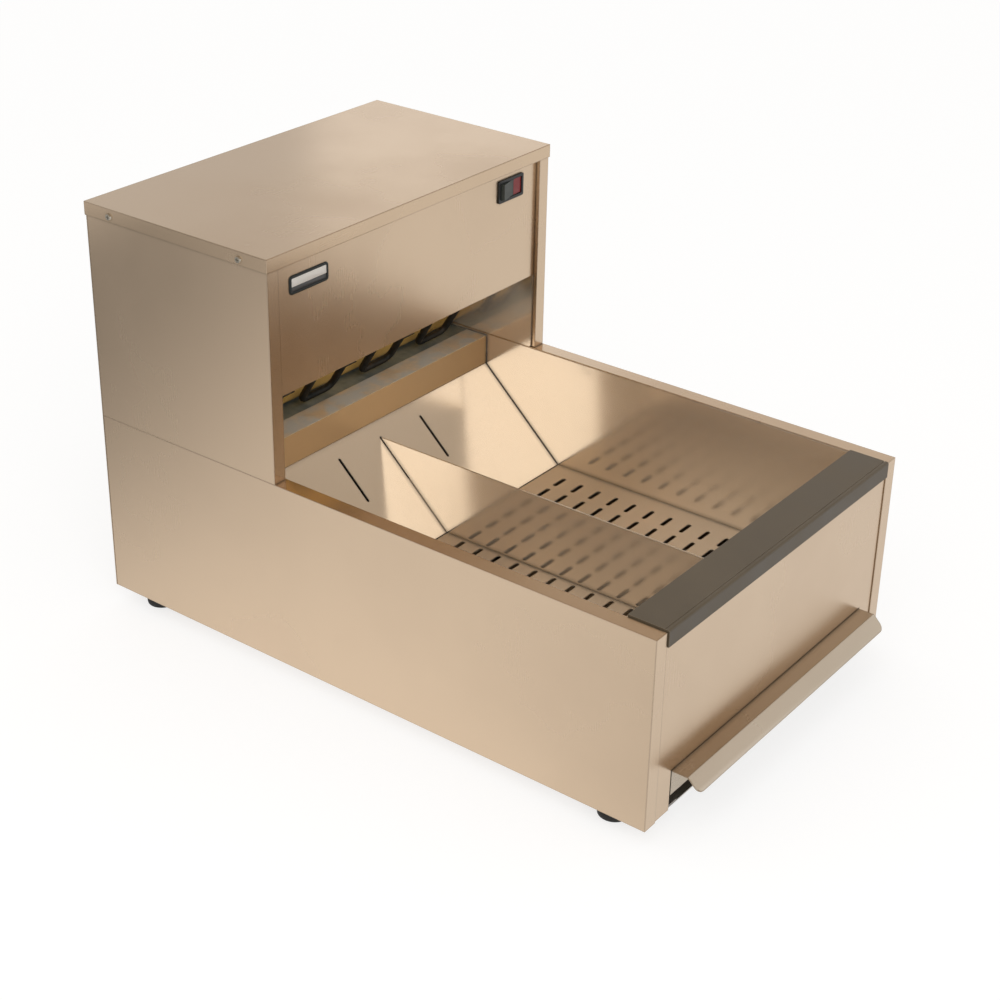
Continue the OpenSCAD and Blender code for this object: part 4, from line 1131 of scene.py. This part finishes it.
@dataclass
class Feet:
    """Turned rubber feet with a moulded groove, a rounded sole and a pocket for the screw, in millimetres."""

    shop: Workshop
    top_r: float = 18.5
    sole_r: float = 17.0
    height: float = 20.0
    sole_round: float = 1.8
    sole_steps: int = 5
    top_round: float = 1.4
    top_steps: int = 3
    pocket_r: float = 7.0
    pocket_h: float = 9.0
    pocket_lip: float = 0.6
    bore_r: float = 3.1
    bore_lip: float = 0.3
    groove: tuple[Pair, ...] = ((7.0, 0.0), (7.4, 0.25), (7.8, 0.8), (9.2, 0.8), (9.6, 0.25), (10.0, 0.0))
    steps: int = 64
    crease: float = math.radians(40)
    names: tuple[str, ...] = ("foot_front_left", "foot_front_right", "foot_back_left", "foot_back_right")

    def side(self, z: float) -> float:
        """Returns the tapered side's radius at a height."""
        return self.sole_r + (self.top_r - self.sole_r) * z / self.height

    def profile(self) -> list[Pair]:
        """Draws the outline that is turned.

        Returns:
            Points (radius, height) in metres, in order round the outline.
        """
        points = [(self.pocket_r + self.pocket_lip, 0.0), (self.sole_r - self.sole_round, 0.0)]
        bend = self.sole_round
        for k in range(1, self.sole_steps + 1):
            turn = math.pi / 2 * k / self.sole_steps
            points.append((self.side(0) - bend + bend * math.sin(turn), bend - bend * math.cos(turn)))
        bend = self.top_round
        shoulder = self.height - bend
        points += [(self.side(z) - depth, z) for z, depth in (*self.groove, (shoulder, 0.0))]
        for k in range(1, self.top_steps + 1):
            turn = math.pi / 2 * k / self.top_steps
            across = self.side(shoulder) - bend + bend * math.cos(turn)
            points.append((across, shoulder + bend * math.sin(turn)))
        points += [(self.bore_r + self.bore_lip, self.height), (self.bore_r, self.height - self.bore_lip)]
        points += [(self.bore_r, self.pocket_h), (self.pocket_r, self.pocket_h)]
        points.append((self.pocket_r, self.pocket_lip))
        return [(r * MM, z * MM) for r, z in points]

    def build(self) -> None:
        """Builds the four feet."""
        for node in self.names:
            low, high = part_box(node)
            name = node + "_rubber"
            rubber = to_mesh(turned(self.profile(), self.steps), name, self.crease)
            piece = self.shop.object(name, rubber)
            piece.data.transform(Matrix.Translation(((low.x + high.x) / 2, (low.y + high.y) / 2, low.z)))
            self.shop.stands_for(piece, node)


@dataclass
class WoolSlabs:
    """Slabs of mineral wool in the double walls: soft edges and an uneven matted face."""

    shop: Workshop
    cell: float = 6 * MM
    edge: float = 4 * MM
    sink: float = 1.3 * MM
    lumps: float = 55.0
    tufts: float = 190.0
    tuft_share: float = 0.35
    names: tuple[str, ...] = ("insulation_left", "insulation_right", "insulation_front", "hood_insulation")

    def settled(self, point: Vector, low: Vector, high: Vector) -> Vector:
        """Rounds the slab's edges and lets its faces sink, at one point.

        Args:
            point: the point on the slab's box.
            low: the box's low corner.
            high: the box's high corner.

        Returns:
            Where the point lies then.
        """
        core = Vector(min(max(point[i], low[i] + self.edge), high[i] - self.edge) for i in range(3))
        out = (point - core).normalized()
        dip = 0.5 + 0.5 * noise.noise(point * self.lumps) + self.tuft_share * noise.noise(point * self.tufts)
        return core + out * (self.edge - self.sink * min(max(dip, 0.0), 1.0))

    def slab(self, node: str) -> bpy.types.Mesh:
        """Builds one slab's mesh in its node's box.

        Args:
            node: the CAD node.

        Returns:
            The mesh.
        """
        low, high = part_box(node)
        size = high - low
        counts = [max(2, round(size[i] / self.cell)) for i in range(3)]
        work = bmesh.new()
        made: dict[tuple[int, ...], bmesh.types.BMVert] = {}

        def corner(index: tuple[int, ...]) -> bmesh.types.BMVert:
            """Returns the vertex of a lattice point, made on its first use.

            Args:
                index: the lattice point's step along each axis.

            Returns:
                The vertex.
            """
            if index not in made:
                point = Vector(low[i] + size[i] * index[i] / counts[i] for i in range(3))
                made[index] = work.verts.new(self.settled(point, low, high))
            return made[index]

        for axis in range(3):
            u, v = [i for i in range(3) if i != axis]
            for level in (0, counts[axis]):
                for a in range(counts[u]):
                    for b in range(counts[v]):
                        square = []
                        for da, db in ((0, 0), (1, 0), (1, 1), (0, 1)):
                            index = [level] * 3
                            index[u], index[v] = a + da, b + db
                            square.append(corner(tuple(index)))
                        work.faces.new(square)
        bmesh.ops.recalc_face_normals(work, faces=work.faces)
        return to_mesh(work, node + "_wool")

    def build(self) -> None:
        """Builds the slabs."""
        for node in self.names:
            self.shop.stands_for(self.shop.object(node + "_wool", self.slab(node)), node)


@dataclass
class Interior:
    """Parts inside the hood and between the walls, which show through the openings."""

    shop: Workshop
    sheets: tuple[str, ...] = ("partition", "chamber_ceiling", "control_bracket", "fan_bracket")
    solids: tuple[str, ...] = (
        "return_duct", "fan_housing", "fan_wheel", "fan_shaft", "fan_motor", "thermostat", "high_limit",
        "terminal_block", "cord_gland", "gland_nut", "foot_screws", "foot_nuts",
    )
    edge: float = 0.25 * MM

    def build(self) -> None:
        """Builds the inner parts."""
        sheet = FoldedSheet(self.shop)
        sheet.build_all(*self.sheets)
        sheet.build("air_deck", "deck_dark")
        for node in self.solids:
            self.shop.solid(node, self.edge)
        self.shop.solid("wiring_loom", smooth=1)


@dataclass(frozen=True)
class SoftLamp:
    """Rectangular lamp, out of the camera's sight: place, aimed point, width and height, and watts."""

    name: str
    place: Point
    aim: Point
    size: Pair
    power: float
    mirrored: bool = True

    def hang(self) -> None:
        """Hangs the lamp in the scene."""
        data = bpy.data.lights.new(self.name, "AREA")
        data.shape = "RECTANGLE"
        data.size, data.size_y = self.size
        data.energy = self.power
        lamp = bpy.data.objects.new(self.name, data)
        lamp.location = self.place
        lamp.rotation_euler = (Vector(self.aim) - Vector(self.place)).to_track_quat("-Z", "Y").to_euler()
        lamp.visible_camera = False
        lamp.visible_glossy = self.mirrored
        bpy.context.scene.collection.objects.link(lamp)


@dataclass
class Studio:
    """Floor, cards, lamps, sky and camera. The cards show only in the steel, as a studio's grey cards do."""

    floor_half: float = 4.0
    floor_z: float = -0.0004
    floor_light: float = 1.08
    floor_near: float = 0.86
    floor_far: float = 0.27
    floor_fade: Pair = (0.0, 0.74)
    floor_taper: float = 0.4
    floor_foot: float = 0.15
    foot_x: Pair = (0.27, 0.5)
    foot_y: Pair = (-0.36, -0.2)
    front_dip: float = 0.13
    dip_x: Pair = (-0.32, -0.22)
    dip_y: Pair = (-0.28, 0.0)
    shadow_share: float = 0.34
    cards_x: Pair = (-1.8, 2.2)
    cards_y: Pair = (-2.2, 1.2)
    cards_z: Pair = (0.05, 1.36)
    back_end: float = 1.02
    back_tone: Colour = (0.65, 0.65, 0.65)
    ceiling_tone: Colour = (0.41, 0.325, 0.24)
    room_light: float = 0.72
    room_tone: Colour = (1.0, 0.98, 0.95)
    camera_place: Point = (-1.49178, -1.11728, 1.17354)
    camera_turn: Point = (62.865, -1.253, -53.051)
    camera_lens: float = 70.31
    camera_film: float = 36.0
    camera_shift: Pair = (-0.015, -0.05)
    lamps: tuple[SoftLamp, ...] = (
        SoftLamp("key", (-0.93, -0.42, 1.18), aim=(0.05, 0.05, 0.15), size=(0.7, 0.7), power=1.8),
        SoftLamp("fill", (-1.6, -1.9, 1.9), aim=(0.0, 0.0, 0.2), size=(1.2, 1.2), power=9.0),
        SoftLamp(
            "mouth", (0.0, 0.128, 0.316), aim=(0.0, 0.22, 0.235), size=(0.38, 0.02), power=0.13,
            mirrored=False,
        ),
    )

    def plane(self, name: str, corners: list[Point]) -> bpy.types.Object:
        """Builds a flat stage piece.

        Args:
            name: the piece's name.
            corners: its corners, in order.

        Returns:
            The piece.
        """
        mesh = bpy.data.meshes.new(name)
        mesh.from_pydata(corners, [], [tuple(range(len(corners)))])
        piece = bpy.data.objects.new(name, mesh)
        bpy.context.scene.collection.objects.link(piece)
        return piece

    def floor_tone(self, tree: MaterialTree) -> Socket:
        """Tones the floor as the steel sees it: greyer behind, paler beside and darker before it.

        Args:
            tree: the floor's nodes.

        Returns:
            How bright the steel sees the floor, where white is 1.
        """
        place = tree.add("ShaderNodeSeparateXYZ")
        tree.feed(place.inputs[0], tree.coordinates)
        x, y = place.outputs["X"], place.outputs["Y"]
        across = tree.math("ABSOLUTE", x)
        taper = tree.math("MULTIPLY", across, self.floor_taper)
        behind = tree.add("ShaderNodeMapRange", interpolation_type="SMOOTHSTEP")
        tree.feed(behind.inputs["Value"], tree.math("SUBTRACT", y, taper))
        for socket, value in zip(behind.inputs[1:5], (*self.floor_fade, self.floor_near, self.floor_far)):
            tree.feed(socket, value)
        foot = tree.spread(across, self.foot_x, (self.floor_foot, 0.0))
        foot = tree.math("MULTIPLY", foot, tree.spread(y, self.foot_y, FULL))
        dip = tree.spread(y, self.dip_y, (self.front_dip, 0.0))
        dip = tree.math("MULTIPLY", dip, tree.spread(x, self.dip_x, (1.0, 0.0)))
        return tree.math("SUBTRACT", tree.math("ADD", behind.outputs[0], foot), dip)

    def floor(self) -> None:
        """Builds the pale floor, which keeps the object's shadow."""
        s, z = self.floor_half, self.floor_z
        floor = self.plane("floor", [(-s, -s, z), (s, -s, z), (s, s, z), (-s, s, z)])
        tree = MaterialTree("pale_floor")
        tone = self.floor_tone(tree)
        path = tree.add("ShaderNodeLightPath").outputs
        mirrored = tree.math("MAXIMUM", path["Is Glossy Ray"], path["Is Transmission Ray"])
        dimming = tree.math("MULTIPLY", mirrored, tree.math("SUBTRACT", 1.0, tone))
        share = tree.math("SUBTRACT", 1.0, dimming)
        seen = tree.math("MAXIMUM", path["Is Camera Ray"], mirrored)
        light = self.floor_light - self.shadow_share
        level = tree.math("MULTIPLY", tree.math("MULTIPLY", seen, share), light)
        matte = tree.add("ShaderNodeBsdfDiffuse")
        tree.feed(matte.inputs["Color"], tree.math("MULTIPLY", share, self.shadow_share))
        glow = tree.add("ShaderNodeEmission")
        tree.feed(glow.inputs["Strength"], level)
        both = tree.add("ShaderNodeAddShader")
        for socket, shader in zip(both.inputs, (matte, glow)):
            tree.feed(socket, shader.outputs[0])
        tree.feed(tree.output.inputs["Surface"], both.outputs[0])
        floor.data.materials.append(tree.material)

    def card(self, name: str, corners: list[Point], tone: Colour) -> None:
        """Builds a card that only the steel sees.

        Args:
            name: the card's name.
            corners: its corners.
            tone: its brightness, where the backdrop is 1.
        """
        card = self.plane(name, corners)
        tree = MaterialTree(name + "_grey")
        glow = tree.add("ShaderNodeEmission")
        tree.feed(glow.inputs["Color"], tone)
        tree.feed(tree.output.inputs["Surface"], glow.outputs[0])
        card.data.materials.append(tree.material)
        card.visible_camera = False
        card.visible_diffuse = False
        card.visible_shadow = False

    def cards(self) -> None:
        """Hangs a grey card behind the object and a warm one over it."""
        (left, right), (front, back), (low, high) = self.cards_x, self.cards_y, self.cards_z
        end = self.back_end
        wall = [(left, back, low), (end, back, low), (end, back, high), (left, back, high)]
        self.card("back_card", wall, self.back_tone)
        roof = [(left, front, high), (right, front, high), (right, back, high), (left, back, high)]
        self.card("ceiling_card", roof, self.ceiling_tone)

    def sky(self) -> None:
        """Sets the even light of the room, and the white that the camera and the steel see."""
        world = bpy.data.worlds.new("room")
        bpy.context.scene.world = world
        world.use_nodes = True
        nodes, links = world.node_tree.nodes, world.node_tree.links
        nodes.clear()
        path = nodes.new("ShaderNodeLightPath").outputs
        seen = nodes.new("ShaderNodeMath")
        seen.operation = "MAXIMUM"
        light = nodes.new("ShaderNodeBackground")
        light.inputs["Color"].default_value = (*self.room_tone, 1.0)
        light.inputs["Strength"].default_value = self.room_light
        white = nodes.new("ShaderNodeBackground")
        white.inputs["Color"].default_value = (1.0, 1.0, 1.0, 1.0)
        mix = nodes.new("ShaderNodeMixShader")
        for output, socket in (
            (path["Is Camera Ray"], seen.inputs[0]),
            (path["Is Glossy Ray"], seen.inputs[1]),
            (seen.outputs[0], mix.inputs[0]),
            (light.outputs[0], mix.inputs[1]),
            (white.outputs[0], mix.inputs[2]),
            (mix.outputs[0], nodes.new("ShaderNodeOutputWorld").inputs[0]),
        ):
            links.new(output, socket)

    def camera(self) -> None:
        """Sets the camera where the photograph was taken."""
        data = bpy.data.cameras.new("camera")
        data.lens = self.camera_lens
        data.sensor_width = self.camera_film
        data.shift_x, data.shift_y = self.camera_shift
        camera = bpy.data.objects.new("camera", data)
        camera.location = self.camera_place
        camera.rotation_euler = [math.radians(angle) for angle in self.camera_turn]
        bpy.context.scene.collection.objects.link(camera)
        bpy.context.scene.camera = camera

    def build(self) -> None:
        """Sets the stage, the lamps and the camera."""
        self.floor()
        self.cards()
        for lamp in self.lamps:
            lamp.hang()
        self.sky()
        self.camera()
        bpy.context.scene.view_settings.view_transform = "Standard"


def main() -> None:
    """Builds the warmer piece by piece, then the stage."""
    logging.basicConfig(level=logging.INFO, format="%(name)s: %(message)s")
    shop = Workshop()
    for part in (Cabinet, FoodBin, CrumbTray, Hood, Heater, PowerSwitch, Badge, Feet, WoolSlabs, Interior):
        LOG.info("building %s", part.__name__)
        part(shop).build()
    Studio().build()


if __name__ == "__main__":
    main()
